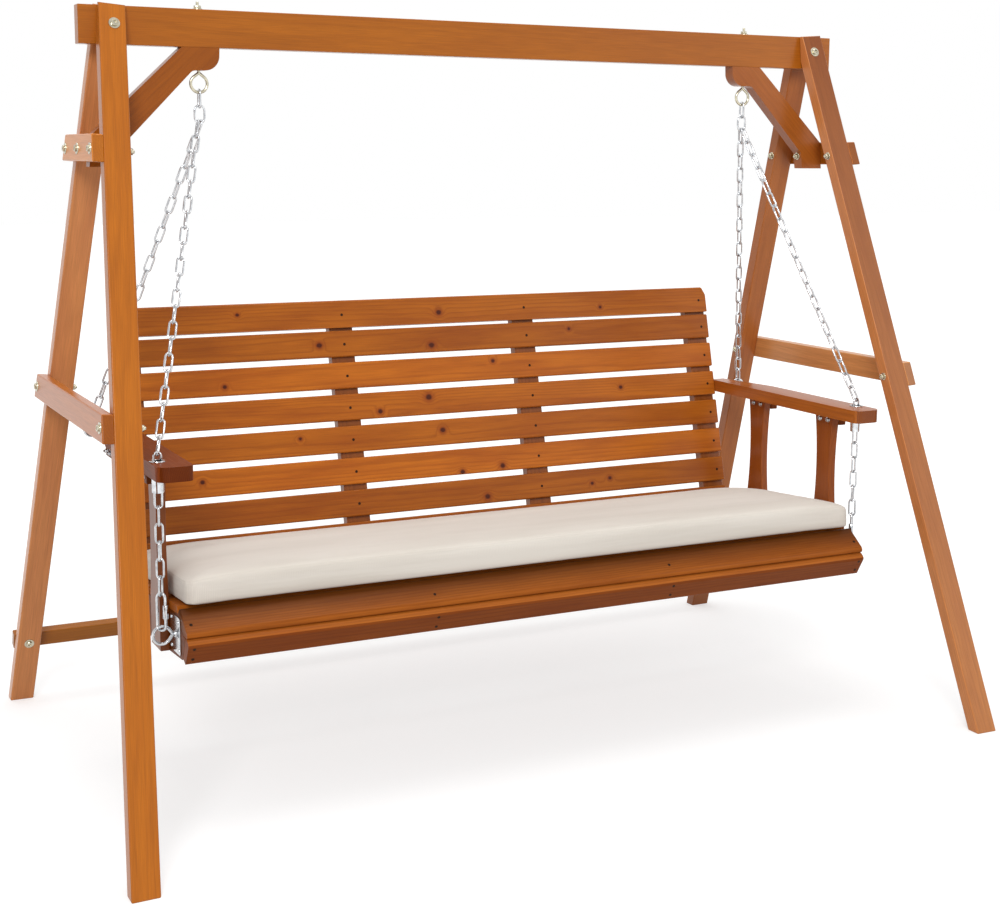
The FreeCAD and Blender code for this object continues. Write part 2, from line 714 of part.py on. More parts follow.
def build_back():
    """Stiles with eight slats across them; the top slat has clipped corners and a rounded top."""
    height = "dims.stile_low + dims.back_top - dims.stile_short"
    for name, left in (("end", STILE_END), ("middle", "(dims.mid_stile_x + dims.stile_width / 2)")):
        stile = box(f"back_stile_{name}", "dims.stile_width", "dims.stile_thick", height)
        place(stile, x=f"-{left}", **on_back("-dims.stile_low", "0"))
        pair(stile, f"back_stile_{name}")

    clip = "dims.top_slat_clip"
    corners = [
        (f"-{STILE_END}", "0"),
        (STILE_END, "0"),
        (STILE_END, f"dims.top_slat_width - {clip} * 2"),
        (f"{STILE_END} - {clip}", "dims.top_slat_width"),
        (f"-{STILE_END} + {clip}", "dims.top_slat_width"),
        (f"-{STILE_END}", f"dims.top_slat_width - {clip} * 2"),
    ]
    top = shaped("back_slat_1", "XZ_Plane", corners, "dims.back_slat_thick")
    high = size("dims.top_slat_width")

    def top_edges(first, last):
        return abs(first.x - last.x) > 100 and abs(first.z - high) + abs(last.z - high) < 0.01

    dress_edges(top, "Fillet", "dims.top_slat_round", top_edges)
    place(top, **on_back("dims.back_top - dims.top_slat_width", "0"))
    node(top, "back_slat_1")

    for index in range(1, int(size("dims.back_slat_count"))):
        name = f"back_slat_{index + 1}"
        slat = box(name, f"{STILE_END} * 2", "dims.back_slat_thick", "dims.back_slat_width")
        run = "dims.back_top - dims.top_slat_width - dims.top_slat_gap - dims.back_slat_width"
        run += f" - dims.back_slat_pitch * {index - 1}"
        place(slat, x=f"-{STILE_END}", **on_back(run, "-dims.back_slat_thick"))
        node(slat, name)


def build_posts():
    """Waisted posts outside the end supports, each with a cleat under the armrest."""
    cleats = []
    for name in ("front", "rear"):
        middle = f"dims.{name}_post_y"
        front = f"({middle} - dims.post_width / 2)"
        rear = f"({middle} + dims.post_width / 2)"
        low = f"dims.{name}_post_low"
        corners = [
            (front, low),
            (rear, low),
            (rear, "dims.post_straight", "dims.post_waist"),
            (rear, ARM_LOW),
            (front, ARM_LOW, "dims.post_waist"),
            (front, "dims.post_straight"),
        ]
        post = shaped(f"{name}_post", "YZ_Plane", corners, "dims.post_thick")
        place(post, x=f"-({BENCH_END} + dims.post_thick)")
        pair(post, f"arm_post_{name}")
        cleat = box(f"{name}_cleat", "dims.cleat_thick", "dims.post_width", "dims.cleat_height")
        outer = f"-({BENCH_END} + dims.post_thick + dims.cleat_thick)"
        place(cleat, x=outer, y=front, z=f"{ARM_LOW} - dims.cleat_height")
        cleats.append(cleat)
    both = doc.addObject("Part::Compound", "arm_cleats")
    both.Links = cleats
    pair(both, "arm_cleats")


def build_armrests():
    """Armrests with round front corners and a tapered rear, a sleeve for the chain through each."""
    inner = STILE_END
    outer = f"({inner} + dims.arm_width)"
    corners = [
        (f"-{inner}", "-dims.arm_front"),
        (f"-{inner}", "dims.arm_rear"),
        (f"-({inner} + dims.arm_rear_width)", "dims.arm_rear"),
        (f"-{outer}", "dims.arm_taper_start"),
        (f"-{outer}", "-dims.arm_front"),
    ]
    arm = shaped("arm_blank", "XY_Plane", corners, "dims.arm_thick")
    front, outside = size("-dims.arm_front"), size(f"-{outer}")

    def upright_front(first, last):
        return abs(first.z - last.z) > 1 and abs(first.y - front) < 0.01

    def at_outer_corner(first, last):
        return upright_front(first, last) and abs(first.x - outside) < 0.01

    dress_edges(arm, "Fillet", "dims.arm_round", at_outer_corner)
    dress_edges(arm, "Fillet", "dims.arm_inner_round", upright_front)
    place(arm, z=ARM_LOW)
    spot = {"x": "-dims.hole_x", "y": "dims.hole_y", "z": f"{ARM_LOW} - 1"}
    arm_hole = prism("arm_hole", 16, "dims.sleeve_outer + dims.bolt_clearance", "dims.arm_thick + 2")
    tools = [place(arm_hole, **spot)]
    spot = {"x": "-dims.rear_eye_x", "y": "dims.rear_eye_y", "z": "dims.arm_top - dims.arm_thick / 2"}
    eye_hole = prism("arm_eye_hole", 8, SHANK_HOLE, "dims.rear_eye_apex + dims.bench_eye_shank")
    tools.append(place(eye_hole, axis=(0, 1, 0), angle="90", **spot))
    pair(cut(arm, fuse(tools, "arm_holes"), "armrest"), "armrest")

    length = "(dims.arm_thick + dims.sleeve_drop)"
    tube = place(prism("sleeve_tube", 16, "dims.sleeve_outer", length), z=f"-{length}")
    flange = prism("sleeve_flange", 16, "dims.sleeve_flange", "dims.sleeve_rim")
    bore = prism("sleeve_bore", 16, "dims.sleeve_inner", f"{length} + dims.sleeve_rim + 2")
    place(bore, z=f"-{length} - 1")
    sleeve = cut(fuse([tube, flange], "sleeve_blank"), bore, "arm_sleeve")
    place(sleeve, x="-dims.hole_x", y="dims.hole_y", z="dims.arm_top")
    pair(sleeve, "arm_sleeve")


def build_cushion():
    """Box cushion with drawn-in sides and a crowned top, lofted up from its seat."""
    # Share of the full height and inset of the edge at each level
    levels = ((0, 16), (0.14, 4), (0.40, 0), (0.72, 2), (0.90, 14), (0.97, 60), (1, 150))
    sections = []
    for number, (share, inset) in enumerate(levels):
        half_long = f"(dims.cushion_length / 2 - {inset})"
        half_deep = f"(dims.cushion_depth / 2 - {inset})"
        turn = "dims.cushion_corner"
        hollow = f"-{turn} * (1 - cos(45))"
        near_long, near_deep = f"({half_long} - {turn})", f"({half_deep} - {turn})"
        corners = [
            (near_long, f"-{half_deep}", hollow),
            (half_long, f"-{near_deep}"),
            (half_long, near_deep, hollow),
            (near_long, half_deep),
            (f"-{near_long}", half_deep, hollow),
            (f"-{half_long}", near_deep),
            (f"-{half_long}", f"-{near_deep}", hollow),
            (f"-{near_long}", f"-{half_deep}"),
        ]
        sketch = outline(doc.addObject("Sketcher::SketchObject", f"cushion_level_{number}"), corners)
        crown = f"(dims.cushion_thick + dims.cushion_crown) * {share}"
        place(sketch, z=crown)
        sections.append(sketch)
    cushion = doc.addObject("Part::Loft", "seat_cushion")
    cushion.Sections = sections
    cushion.Solid = True
    cushion.Ruled = True
    middle = "(dims.cushion_depth / 2 - dims.cushion_front)"
    seat = f"{seat_line(middle)} + (dims.slat_thick + dims.soft_gap) / cos(dims.seat_tilt)"
    place(cushion, y=middle, z=seat, axis=(1, 0, 0), angle="-dims.seat_tilt")
    node(cushion, "seat_cushion")


build_beam()
build_legs()
build_side_bars()
build_braces()
build_stretcher()
build_top_eyes()
build_supports()
build_seat_slats()
build_front()
build_back()
build_posts()
build_armrests()
build_bench_eyes()
build_chains()
build_cushion()
doc.recompute()

failed = [item.Name for item in doc.Objects if {"Invalid", "Error"} & set(item.State)]
failed += [item.Label for item in nodes if item.Shape.isNull() or not item.Shape.isValid()]
if failed:
    raise RuntimeError("not built: " + ", ".join(failed))
os.makedirs("parts", exist_ok=True)
for item in nodes:
    item.Shape.exportStep(f"parts/{item.Label}.step")
print(f"{len(nodes)} sub-parts")
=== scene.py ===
"""Porch swing on its timber stand: stained boards, plated chain and fittings, and a foam cushion."""

import math
import random

import bmesh
import bpy
import numpy as np
from mathutils import Matrix, Vector, noise
from mathutils.bvhtree import BVHTree


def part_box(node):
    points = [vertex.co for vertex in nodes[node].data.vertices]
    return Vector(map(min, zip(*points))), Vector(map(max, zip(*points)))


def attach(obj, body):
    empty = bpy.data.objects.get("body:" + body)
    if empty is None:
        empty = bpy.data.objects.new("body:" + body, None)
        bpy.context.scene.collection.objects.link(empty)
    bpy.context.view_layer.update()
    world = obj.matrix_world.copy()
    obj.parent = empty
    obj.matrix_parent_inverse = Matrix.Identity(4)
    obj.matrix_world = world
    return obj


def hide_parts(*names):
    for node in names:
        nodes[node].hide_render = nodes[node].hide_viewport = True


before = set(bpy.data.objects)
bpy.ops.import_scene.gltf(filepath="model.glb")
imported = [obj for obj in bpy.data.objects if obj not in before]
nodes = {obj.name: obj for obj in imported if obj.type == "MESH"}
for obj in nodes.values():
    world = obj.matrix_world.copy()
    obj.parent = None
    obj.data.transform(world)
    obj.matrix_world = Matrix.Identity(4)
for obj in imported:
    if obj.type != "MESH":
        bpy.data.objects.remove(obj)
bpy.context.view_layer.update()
scene = bpy.context.scene
MM = 0.001
SIDES = (("left", -1), ("right", 1))


def both(*names):
    """Names of the left and right pieces."""
    return [f"{name}_{side}" for name in names for side, _ in SIDES]


# Boards
STAND_BOARDS = both("leg_front", "leg_rear", "upper_side_bar", "middle_side_bar", "knee_brace")
STAND_BOARDS += ["top_beam", "rear_stretcher"]
SEAT_SLATS = [f"seat_slat_{number}" for number in range(1, 7)]
BACK_SLATS = [f"back_slat_{number}" for number in range(1, 9)]
STILES = both("back_stile_end", "back_stile_middle")
ALONG_BEAM, FRONT_TO_BACK = (1, 0, 0), (0, 1, 0)

# Sizes shared with the solids, in metres and radians
SEAT_TILT = math.radians(4)
LEG_SPLAY = math.radians(4.4)
FOOT_OUTER = 1118.48 * MM
CHAIN_WIRE = 5 * MM
TOP_EYE = {"wire": 7 * MM, "radius": 19.5 * MM, "apex": 24.5 * MM}
SEAT_EYE = {"wire": 7 * MM, "radius": 20 * MM, "apex": 24.5 * MM}
REAR_EYE = {"wire": 7 * MM, "radius": 16.5 * MM, "apex": 21.5 * MM}
TOP_EYE_SPOT = Vector((750, 0, 1616.5)) * MM
SEAT_EYE_SPOT = Vector((943, -289, 416)) * MM
REAR_EYE_SPOT = Vector((959, 281, 786.5)) * MM
ARM_TOP = 803 * MM
BEAM_TOP = 1782 * MM


def colour(code):
    """Linear colour of an sRGB hex code."""
    parts = [int(code[i : i + 2], 16) / 255 for i in (1, 3, 5)]
    linear = [c / 12.92 if c <= 0.04045 else ((c + 0.055) / 1.055) ** 2.4 for c in parts]
    return (*linear, 1)


def even(share):
    """The same share of red, green and blue."""
    return (share, share, share)


def add(tree, kind, inputs=(), **settings):
    """Add a node with its settings; each input is a value or the socket it is linked from."""
    node = tree.nodes.new(kind)
    for name, value in settings.items():
        setattr(node, name, value)
    for key, value in dict(inputs).items():
        if isinstance(value, bpy.types.NodeSocket):
            tree.links.new(value, node.inputs[key])
        else:
            node.inputs[key].default_value = value
    return node


def new_material(name):
    """Material with only its output and its surface shader."""
    material = bpy.data.materials.new(name)
    material.use_nodes = True
    tree = material.node_tree
    return material, tree, tree.nodes["Principled BSDF"]


# Knots of the back slats: slat number, place along it and above its middle line, radius, in millimetres
KNOTS = (
    (1, 10, -4, 8),
    (1, 520, -8, 5),
    (1, -560, 10, 5),
    (2, -21, -14, 9),
    (2, -344, 0, 8),
    (2, 410, 12, 5),
    (3, 160, 18, 6),
    (3, -610, -10, 6),
    (4, -44, 14, 9),
    (4, -189, -15, 7),
    (4, 560, 6, 6),
    (5, -12, 7, 8),
    (5, -420, 12, 5),
    (6, 35, -25, 7),
    (6, 158, -18, 8),
    (6, -690, 6, 6),
    (7, 103, -14, 8),
    (7, 434, -6, 5),
    (7, 493, 4, 6),
    (8, 120, 8, 8),
    (8, -250, -12, 7),
    (8, 470, 2, 6),
)
# Halo and heart of a knot: colour, radii at which it is whole and at which it is gone, strength
KNOT_STAINS = (("#782C0A", 1.1, 2.6, 0.65), ("#401405", 1.0, 1.45, 0.95))
# A knot's height as a share of its length, how far the fibres fray its edge, how many rings it
# pushes the grain aside and how fast that fades
KNOT_DRAWN, KNOT_FRAY, KNOT_PUSH, KNOT_FADE = 0.85, 0.9, 2.0, 0.3
# Each slat has its own band of the knots' pattern, and the other boards have one far off, with no knots
SLAT_BAND, NO_KNOTS = 0.2, 40
# Waves per metre along, across and through the log: wavering rings, fibres and blotches of stain.
# Fibres are about 1 mm wide here, coarser than the real ones, so that they show
RING_WAVES, FIBRE_WAVES, BLOTCH_WAVES = (1.3, 16, 16), (14, 900, 900), (3.5, 22, 22)
# How many rings the grain wavers by
RING_WAVER = 3.2
# Darkness through a year's ring: where it starts and ends, and places between
RING_START, RING_END = 0.25, 0.3
RING_TONES = ((0.12, 0.0), (0.55, 0.12), (0.9, 1.0))


def knot_reach(tree):
    """How many radii a point of a back slat is from its nearest knot."""
    board = add(tree, "ShaderNodeAttribute", attribute_name="board").outputs["Vector"]
    nearest = None
    for slat, along, above, size in KNOTS:
        spot = (along * MM, slat * SLAT_BAND + above * MM, 0)
        offset = add(tree, "ShaderNodeVectorMath", {0: board, 1: spot}, operation="SUBTRACT").outputs[0]
        flat = (KNOT_DRAWN / (size * MM), 1 / (size * MM), 0)
        scaled = add(tree, "ShaderNodeVectorMath", {0: offset, 1: flat}, operation="MULTIPLY").outputs[0]
        reach = add(tree, "ShaderNodeVectorMath", {0: scaled}, operation="LENGTH").outputs["Value"]
        if nearest:
            reach = add(tree, "ShaderNodeMath", {0: nearest, 1: reach}, operation="MINIMUM").outputs[0]
        nearest = reach
    return nearest


def stained_wood(name, early, late, blotch, ring_mm, late_share, gloss, knotty=False):
    """Planed softwood under satin varnish: growth rings cut lengthwise, fine fibres, uneven stain."""
    material, tree, shader = new_material(name)
    log = add(tree, "ShaderNodeAttribute", attribute_name="log").outputs["Vector"]
    across = add(tree, "ShaderNodeVectorMath", {0: log, 1: (0, 1, 1)}, operation="MULTIPLY").outputs[0]
    radius = add(tree, "ShaderNodeVectorMath", {0: across}, operation="LENGTH").outputs["Value"]
    drawn_out = add(tree, "ShaderNodeVectorMath", {0: log, 1: RING_WAVES}, operation="MULTIPLY").outputs[0]
    waver = add(tree, "ShaderNodeTexNoise", {"Vector": drawn_out, "Scale": 1, "Detail": 3}).outputs["Fac"]
    count = add(tree, "ShaderNodeMath", {0: radius, 1: 1000 / ring_mm}, operation="MULTIPLY").outputs[0]
    wavy = {0: waver, 1: RING_WAVER, 2: count}
    rings = add(tree, "ShaderNodeMath", wavy, operation="MULTIPLY_ADD").outputs[0]
    if knotty:
        nearest = knot_reach(tree)
        squared = add(tree, "ShaderNodeMath", {0: nearest, 1: nearest}, operation="MULTIPLY").outputs[0]
        shrunk = add(tree, "ShaderNodeMath", {0: squared, 1: -KNOT_FADE}, operation="MULTIPLY").outputs[0]
        swell = add(tree, "ShaderNodeMath", {0: shrunk}, operation="EXPONENT").outputs[0]
        pushed = {0: swell, 1: KNOT_PUSH, 2: rings}
        rings = add(tree, "ShaderNodeMath", pushed, operation="MULTIPLY_ADD").outputs[0]
    phase = add(tree, "ShaderNodeMath", {0: rings}, operation="FRACT").outputs[0]
    ramp = add(tree, "ShaderNodeValToRGB", {0: phase})
    stops = ramp.color_ramp.elements
    stops[0].color, stops[1].color = (*even(RING_START), 1), (*even(RING_END), 1)
    for place, grey in RING_TONES:
        stops.new(place).color = (*even(grey), 1)
    dark = {0: ramp.outputs[0], 1: late_share}
    latewood = add(tree, "ShaderNodeMath", dark, operation="MULTIPLY").outputs[0]

    fine = add(tree, "ShaderNodeVectorMath", {0: log, 1: FIBRE_WAVES}, operation="MULTIPLY").outputs[0]
    fibre = add(tree, "ShaderNodeTexNoise", {"Vector": fine, "Scale": 1, "Detail": 2}).outputs["Fac"]
    broad = add(tree, "ShaderNodeVectorMath", {0: log, 1: BLOTCH_WAVES}, operation="MULTIPLY").outputs[0]
    patch = add(tree, "ShaderNodeTexNoise", {"Vector": broad, "Scale": 1, "Detail": 4}).outputs["Fac"]
    ringed = {0: latewood, 6: colour(early), 7: colour(late)}
    wood = add(tree, "ShaderNodeMix", ringed, data_type="RGBA").outputs[2]
    patchy = add(tree, "ShaderNodeMapRange", {0: patch, 1: 0.38, 2: 0.72, 3: 0.0, 4: 0.75}).outputs[0]
    wood = add(tree, "ShaderNodeMix", {0: patchy, 6: wood, 7: colour(blotch)}, data_type="RGBA").outputs[2]
    streak = add(tree, "ShaderNodeMapRange", {0: fibre, 1: 0.3, 2: 0.75, 3: 1.08, 4: 0.8}).outputs[0]
    wood = add(tree, "ShaderNodeVectorMath", {0: wood, "Scale": streak}, operation="SCALE").outputs[0]
    # Each board's tone: its stain, and on some boards painted light and shade
    tone = add(tree, "ShaderNodeAttribute", attribute_name="tone").outputs["Vector"]
    wood = add(tree, "ShaderNodeVectorMath", {0: wood, 1: tone}, operation="MULTIPLY").outputs[0]
    relief = add(tree, "ShaderNodeMath", {0: latewood, 1: fibre}, operation="ADD").outputs[0]
    if knotty:
        torn = {0: fibre, 1: KNOT_FRAY, 2: nearest}
        ragged = add(tree, "ShaderNodeMath", torn, operation="MULTIPLY_ADD").outputs[0]
        for code, whole, gone, strength in KNOT_STAINS:
            fade = {0: ragged, 1: whole, 2: gone, 3: strength, 4: 0.0}
            dark = {0: add(tree, "ShaderNodeMapRange", fade).outputs[0], 6: wood, 7: colour(code)}
            wood = add(tree, "ShaderNodeMix", dark, data_type="RGBA").outputs[2]
    tree.links.new(wood, shader.inputs["Base Color"])
    satin = add(tree, "ShaderNodeMapRange", {0: fibre, 1: 0.3, 2: 0.7, 3: 0.4, 4: 0.55}).outputs[0]
    tree.links.new(satin, shader.inputs["Roughness"])
    bump = add(tree, "ShaderNodeBump", {"Strength": 0.2, "Distance": 0.3 * MM, "Height": relief}).outputs[0]
    tree.links.new(bump, shader.inputs["Normal"])
    shader.inputs["Specular IOR Level"].default_value = 0.05
    shader.inputs["Coat Weight"].default_value = gloss
    shader.inputs["Coat IOR"].default_value = 1.3
    shader.inputs["Coat Roughness"].default_value = 0.28
    return material


# Clouds and tumbling marks of the plating, per metre
PLATE_CLOUDS, PLATE_MARKS = 90, 1400


def plated_steel(name, base, tint, roughness):
    """Zinc-plated steel: bright metal with faint cloudy tints and fine tumbling marks."""
    material, tree, shader = new_material(name)
    place = add(tree, "ShaderNodeTexCoord").outputs["Object"]
    cloudy = {"Vector": place, "Scale": PLATE_CLOUDS, "Detail": 3}
    cloud = add(tree, "ShaderNodeTexNoise", cloudy).outputs["Fac"]
    share = add(tree, "ShaderNodeMapRange", {0: cloud, 1: 0.35, 2: 0.7}).outputs[0]
    clouded = {0: share, 6: colour(base), 7: colour(tint)}
    metal = add(tree, "ShaderNodeMix", clouded, data_type="RGBA").outputs[2]
    tree.links.new(metal, shader.inputs["Base Color"])
    tumbled = {"Vector": place, "Scale": PLATE_MARKS, "Detail": 2}
    marks = add(tree, "ShaderNodeTexNoise", tumbled).outputs["Fac"]
    worn = add(tree, "ShaderNodeMapRange", {0: marks, 3: roughness * 0.8, 4: roughness * 1.3}).outputs[0]
    tree.links.new(worn, shader.inputs["Roughness"])
    bump = add(tree, "ShaderNodeBump", {"Strength": 0.15, "Distance": 0.1 * MM, "Height": marks}).outputs[0]
    tree.links.new(bump, shader.inputs["Normal"])
    shader.inputs["Metallic"].default_value = 1
    return material


# Threads are 4 mm apart here, coarser than the real ones, so that they show
THREAD_PITCH = 4 * MM
CREASE_WAVES = (1.8, 8, 26)
# Canvas, the painted shade in its creases, and the sewn thread
UNDYED, CREASE_SHADE, SEWN = "#DDD6CC", "#D0C8BD", "#A79C8F"


def cotton_canvas(seam_height):
    """Cotton canvas cover: plain weave, creases drawn along the bench with painted shade in them, a sewn
    line round the border.
    """
    material, tree, shader = new_material("cotton_canvas")
    place = add(tree, "ShaderNodeTexCoord").outputs["Object"]
    bands = math.pi / 10 / THREAD_PITCH
    weave = []
    for direction in ("X", "Y"):
        wave = add(
            tree,
            "ShaderNodeTexWave",
            {"Vector": place, "Scale": bands, "Distortion": 0.6, "Detail Scale": 1.5},
            bands_direction=direction,
        )
        weave.append(wave.outputs["Fac"])
    cloth = add(tree, "ShaderNodeMath", {0: weave[0], 1: weave[1]}, operation="MULTIPLY").outputs[0]
    drawn = add(tree, "ShaderNodeVectorMath", {0: place, 1: CREASE_WAVES}, operation="MULTIPLY").outputs[0]
    crease = add(tree, "ShaderNodeTexNoise", {"Vector": drawn, "Scale": 1, "Detail": 4}).outputs["Fac"]
    soft = add(tree, "ShaderNodeMapRange", {0: crease, 1: 0.35, 2: 0.7}).outputs[0]
    # The creases are darker: painted shade in the folds
    tone = add(tree, "ShaderNodeMix", {0: soft, 6: colour(UNDYED), 7: colour(CREASE_SHADE)}, data_type="RGBA")
    shade = add(tree, "ShaderNodeMapRange", {0: cloth, 3: 0.96, 4: 1.02}).outputs[0]
    yarn = {0: tone.outputs[2], "Scale": shade}
    dyed = add(tree, "ShaderNodeVectorMath", yarn, operation="SCALE").outputs[0]
    height = add(tree, "ShaderNodeAttribute", attribute_name="stuffed_height").outputs["Fac"]
    above = add(tree, "ShaderNodeMath", {0: height, 1: seam_height}, operation="SUBTRACT").outputs[0]
    away = add(tree, "ShaderNodeMath", {0: above}, operation="ABSOLUTE").outputs[0]
    seam = add(tree, "ShaderNodeMapRange", {0: away, 1: 0.5 * MM, 2: 2.0 * MM, 3: 1.0, 4: 0.0}).outputs[0]
    line = add(tree, "ShaderNodeMath", {0: seam, 1: 0.08}, operation="MULTIPLY").outputs[0]
    dyed = add(tree, "ShaderNodeMix", {0: line, 6: dyed, 7: colour(SEWN)}, data_type="RGBA").outputs[2]
    tree.links.new(dyed, shader.inputs["Base Color"])
    shader.inputs["Roughness"].default_value = 0.9
    shader.inputs["Sheen Weight"].default_value = 0.15
    shader.inputs["Sheen Roughness"].default_value = 0.5
    sunk = add(tree, "ShaderNodeMath", {0: seam, 1: -0.3, 2: soft}, operation="MULTIPLY_ADD").outputs[0]
    creased = add(tree, "ShaderNodeBump", {"Strength": 0.4, "Distance": 3 * MM, "Height": sunk}).outputs[0]
    threads = {"Strength": 0.25, "Distance": 0.4 * MM, "Height": cloth, "Normal": creased}
    woven = add(tree, "ShaderNodeBump", threads).outputs[0]
    tree.links.new(woven, shader.inputs["Normal"])
    return material


# Honey-stained pine of the stand: even, straight and quiet grain
honey_pine = stained_wood("honey_pine", "#BA6915", "#99520D", "#AA5C12", 5.5, 0.32, 1.0)
# Fir of the back slats: lively cathedral grain round dark knots
knotty_fir = stained_wood("knotty_fir", "#B46317", "#803A09", "#934710", 4.5, 0.42, 0.6, knotty=True)
# Fir of the right armrest, the posts and the stiles: no knots, and a paler sheen at a slant
clear_fir = stained_wood("clear_fir", "#B0601C", "#823F0F", "#984D14", 4.5, 0.45, 1.0)
# Fir of the seat and of the left armrest: the same stain rubbed almost dull
dull_fir = stained_wood("dull_fir", "#B0601C", "#823F0F", "#984D14", 4.5, 0.45, 0.25)
# Darker, redder, dull fir of the front board, the seat supports and the cleats
red_fir = stained_wood("red_fir", "#854211", "#682F0A", "#77370E", 4.5, 0.5, 0.25)
# Clear zinc on chain, eyes and bench bolts: cold bright silver
bright_zinc = plated_steel("bright_zinc", "#D6D8DA", "#B2B5B9", 0.13)
# Passivated zinc on the stand's bolts and eyes: pale brass with faint pink and green
yellow_zinc = plated_steel("yellow_zinc", "#C8C2AC", "#B0AA98", 0.22)
# Browned screw heads: nearly black dots
browned_steel = plated_steel("browned_steel", "#3A2A20", "#2A1D16", 0.45)


def add_piece(name, bm, body, material, stands_for=(), sharp=35):
    """Finished piece from a bmesh, smooth up to an edge angle, riding its body."""
    mesh = bpy.data.meshes.new(name)
    bm.to_mesh(mesh)
    bm.free()
    mesh.shade_smooth()
    mesh.set_sharp_from_angle(angle=math.radians(sharp))
    mesh.materials.append(material)
    piece = bpy.data.objects.new(name, mesh)
    scene.collection.objects.link(piece)
    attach(piece, body)
    if stands_for:
        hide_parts(*stands_for)
    return piece


def merged_copy(node):
    """Bmesh of a solid's mesh with its corners joined and its flat faces whole."""
    bm = bmesh.new()
    bm.from_mesh(nodes[node].data)
    bmesh.ops.remove_doubles(bm, verts=bm.verts, dist=0.01 * MM)
    bmesh.ops.dissolve_limit(bm, angle_limit=math.radians(0.5), verts=bm.verts, edges=bm.edges)
    return bm


def ease_edges(bm, edges, amount, segments):
    """Round over a board's edges."""
    size = {"offset": amount, "offset_type": "OFFSET", "segments": segments, "profile": 0.5}
    bmesh.ops.bevel(bm, geom=edges, affect="EDGES", clamp_overlap=True, material=-1, **size)


def grain_axes(bm, along):
    """Directions along, across and through a board."""
    points = np.array([vert.co for vert in bm.verts])
    points -= points.mean(0)
    if along is None:
        along = Vector(np.linalg.svd(points, full_matrices=False)[2][0])
    along = Vector(along).normalized()
    side = Vector((0, 1, 0)) if abs(along.y) < 0.7 else Vector((1, 0, 0))
    through = (side - along * side.dot(along)).normalized()
    return along, along.cross(through), through


# An edge is eased where it is keener and longer than this
KEEN_ANGLE, KEEN_LENGTH = math.radians(25), 14 * MM


def dress_board(node, body, material, slot, ease, along=None, slat=NO_KNOTS, shade=(1, 1, 1), stain=None):
    """Board with eased edges that carries its place in the log, how it took the stain, and the light and
    shade painted on some boards.
    """
    bm = merged_copy(node)
    keen = [
        edge
        for edge in bm.edges
        if len(edge.link_faces) == 2
        and edge.calc_face_angle() > KEEN_ANGLE
        and edge.calc_length() > KEEN_LENGTH
    ]
    ease_edges(bm, keen, ease, 3)
    axes = grain_axes(bm, along)
    chance = random.Random(node)
    low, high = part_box(node)
    middle = (Vector(low) + Vector(high)) / 2
    # Where in its log the board was cut, in metres from the pith, and how far it runs out of line
    pith = Vector((chance.uniform(-9, 9), chance.uniform(-0.03, 0.03), chance.choice((-1, 1))))
    pith.z *= chance.uniform(0.05, 0.11)
    slant = chance.uniform(-0.02, 0.02)
    shade = Vector(shade) * chance.uniform(0.96, 1.04)
    tone = bm.loops.layers.float_vector.new("tone")
    log = bm.verts.layers.float_vector.new("log")
    board = bm.verts.layers.float_vector.new("board")
    for vert in bm.verts:
        place = Vector([(vert.co - middle).dot(axis) for axis in axes])
        vert[board] = (place.x, place.y + slat * SLAT_BAND, 0)
        vert[log] = place + pith + Vector((0, place.x * slant, place.x * slant * 0.6))
    bm.normal_update()
    # The tone holds the board's stain, and on some boards painted sheen, highlight and shade by face and
    # place
    for face in bm.faces:
        for loop in face.loops:
            loop[tone] = shade * Vector(stain(face.normal, loop.vert.co)) if stain else shade
    piece = add_piece(node + "_board", bm, body, material, [node], sharp=50)
    weighted = piece.modifiers.new("flat_faces", "WEIGHTED_NORMAL")
    weighted.keep_sharp = True


# Painted shade on the sloping front slat under the cushion: the slat's top and its fall, the darkest share
# and how much lighter its foot is
ROLL_TOP, ROLL_FALL = 478 * MM, 42 * MM
ROLL_DARKEST, ROLL_GAIN = 0.21, 0.6
# Stains and painted light by face and place, as shares of red, green and blue: the chamfer's painted light,
# the end grain's stain, and the painted reflection and shade of the right front leg's foot and top
CHAMFER_LIGHT = (1.75, 2.2, 2.9)
END_STAIN = (0.6, 0.55, 0.62)
LEG_FOOT_LIGHT, LEG_TOP_SHADE = Vector((0.78, 0.78, 0.7)), Vector((0.42, 0.32, 0.22))
# Shares of its normal from which a face counts as facing up, and front or back
FACES_UP, FACES_FRONT = 0.35, 0.7


def shade_under_cushion(_, place):
    """The sloping front slat is darker towards the cushion: painted shade where the cushion overhangs it.
    """
    below = min(1, max(0, (ROLL_TOP - place.z) / ROLL_FALL))
    return even(ROLL_DARKEST + ROLL_GAIN * below**1.5)


def lit_chamfer(normal, _):
    """The chamfer along the top of the front board is paler: painted light on a face that looks up."""
    return CHAMFER_LIGHT if normal.z > FACES_UP else even(1)


def end_grain(normal, _):
    """The sawn ends of a board that runs from front to back soaked up more stain."""
    return END_STAIN if abs(normal.y) > FACES_FRONT else even(1)


def darker_upwards(normal, place):
    """The front face of the right front leg goes from a light foot to a dark top: painted reflection and
    shade.
    """
    if normal.y > -FACES_FRONT:
        return even(1)
    return LEG_FOOT_LIGHT.lerp(LEG_TOP_SHADE, place.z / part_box("leg_front_right")[1][2])


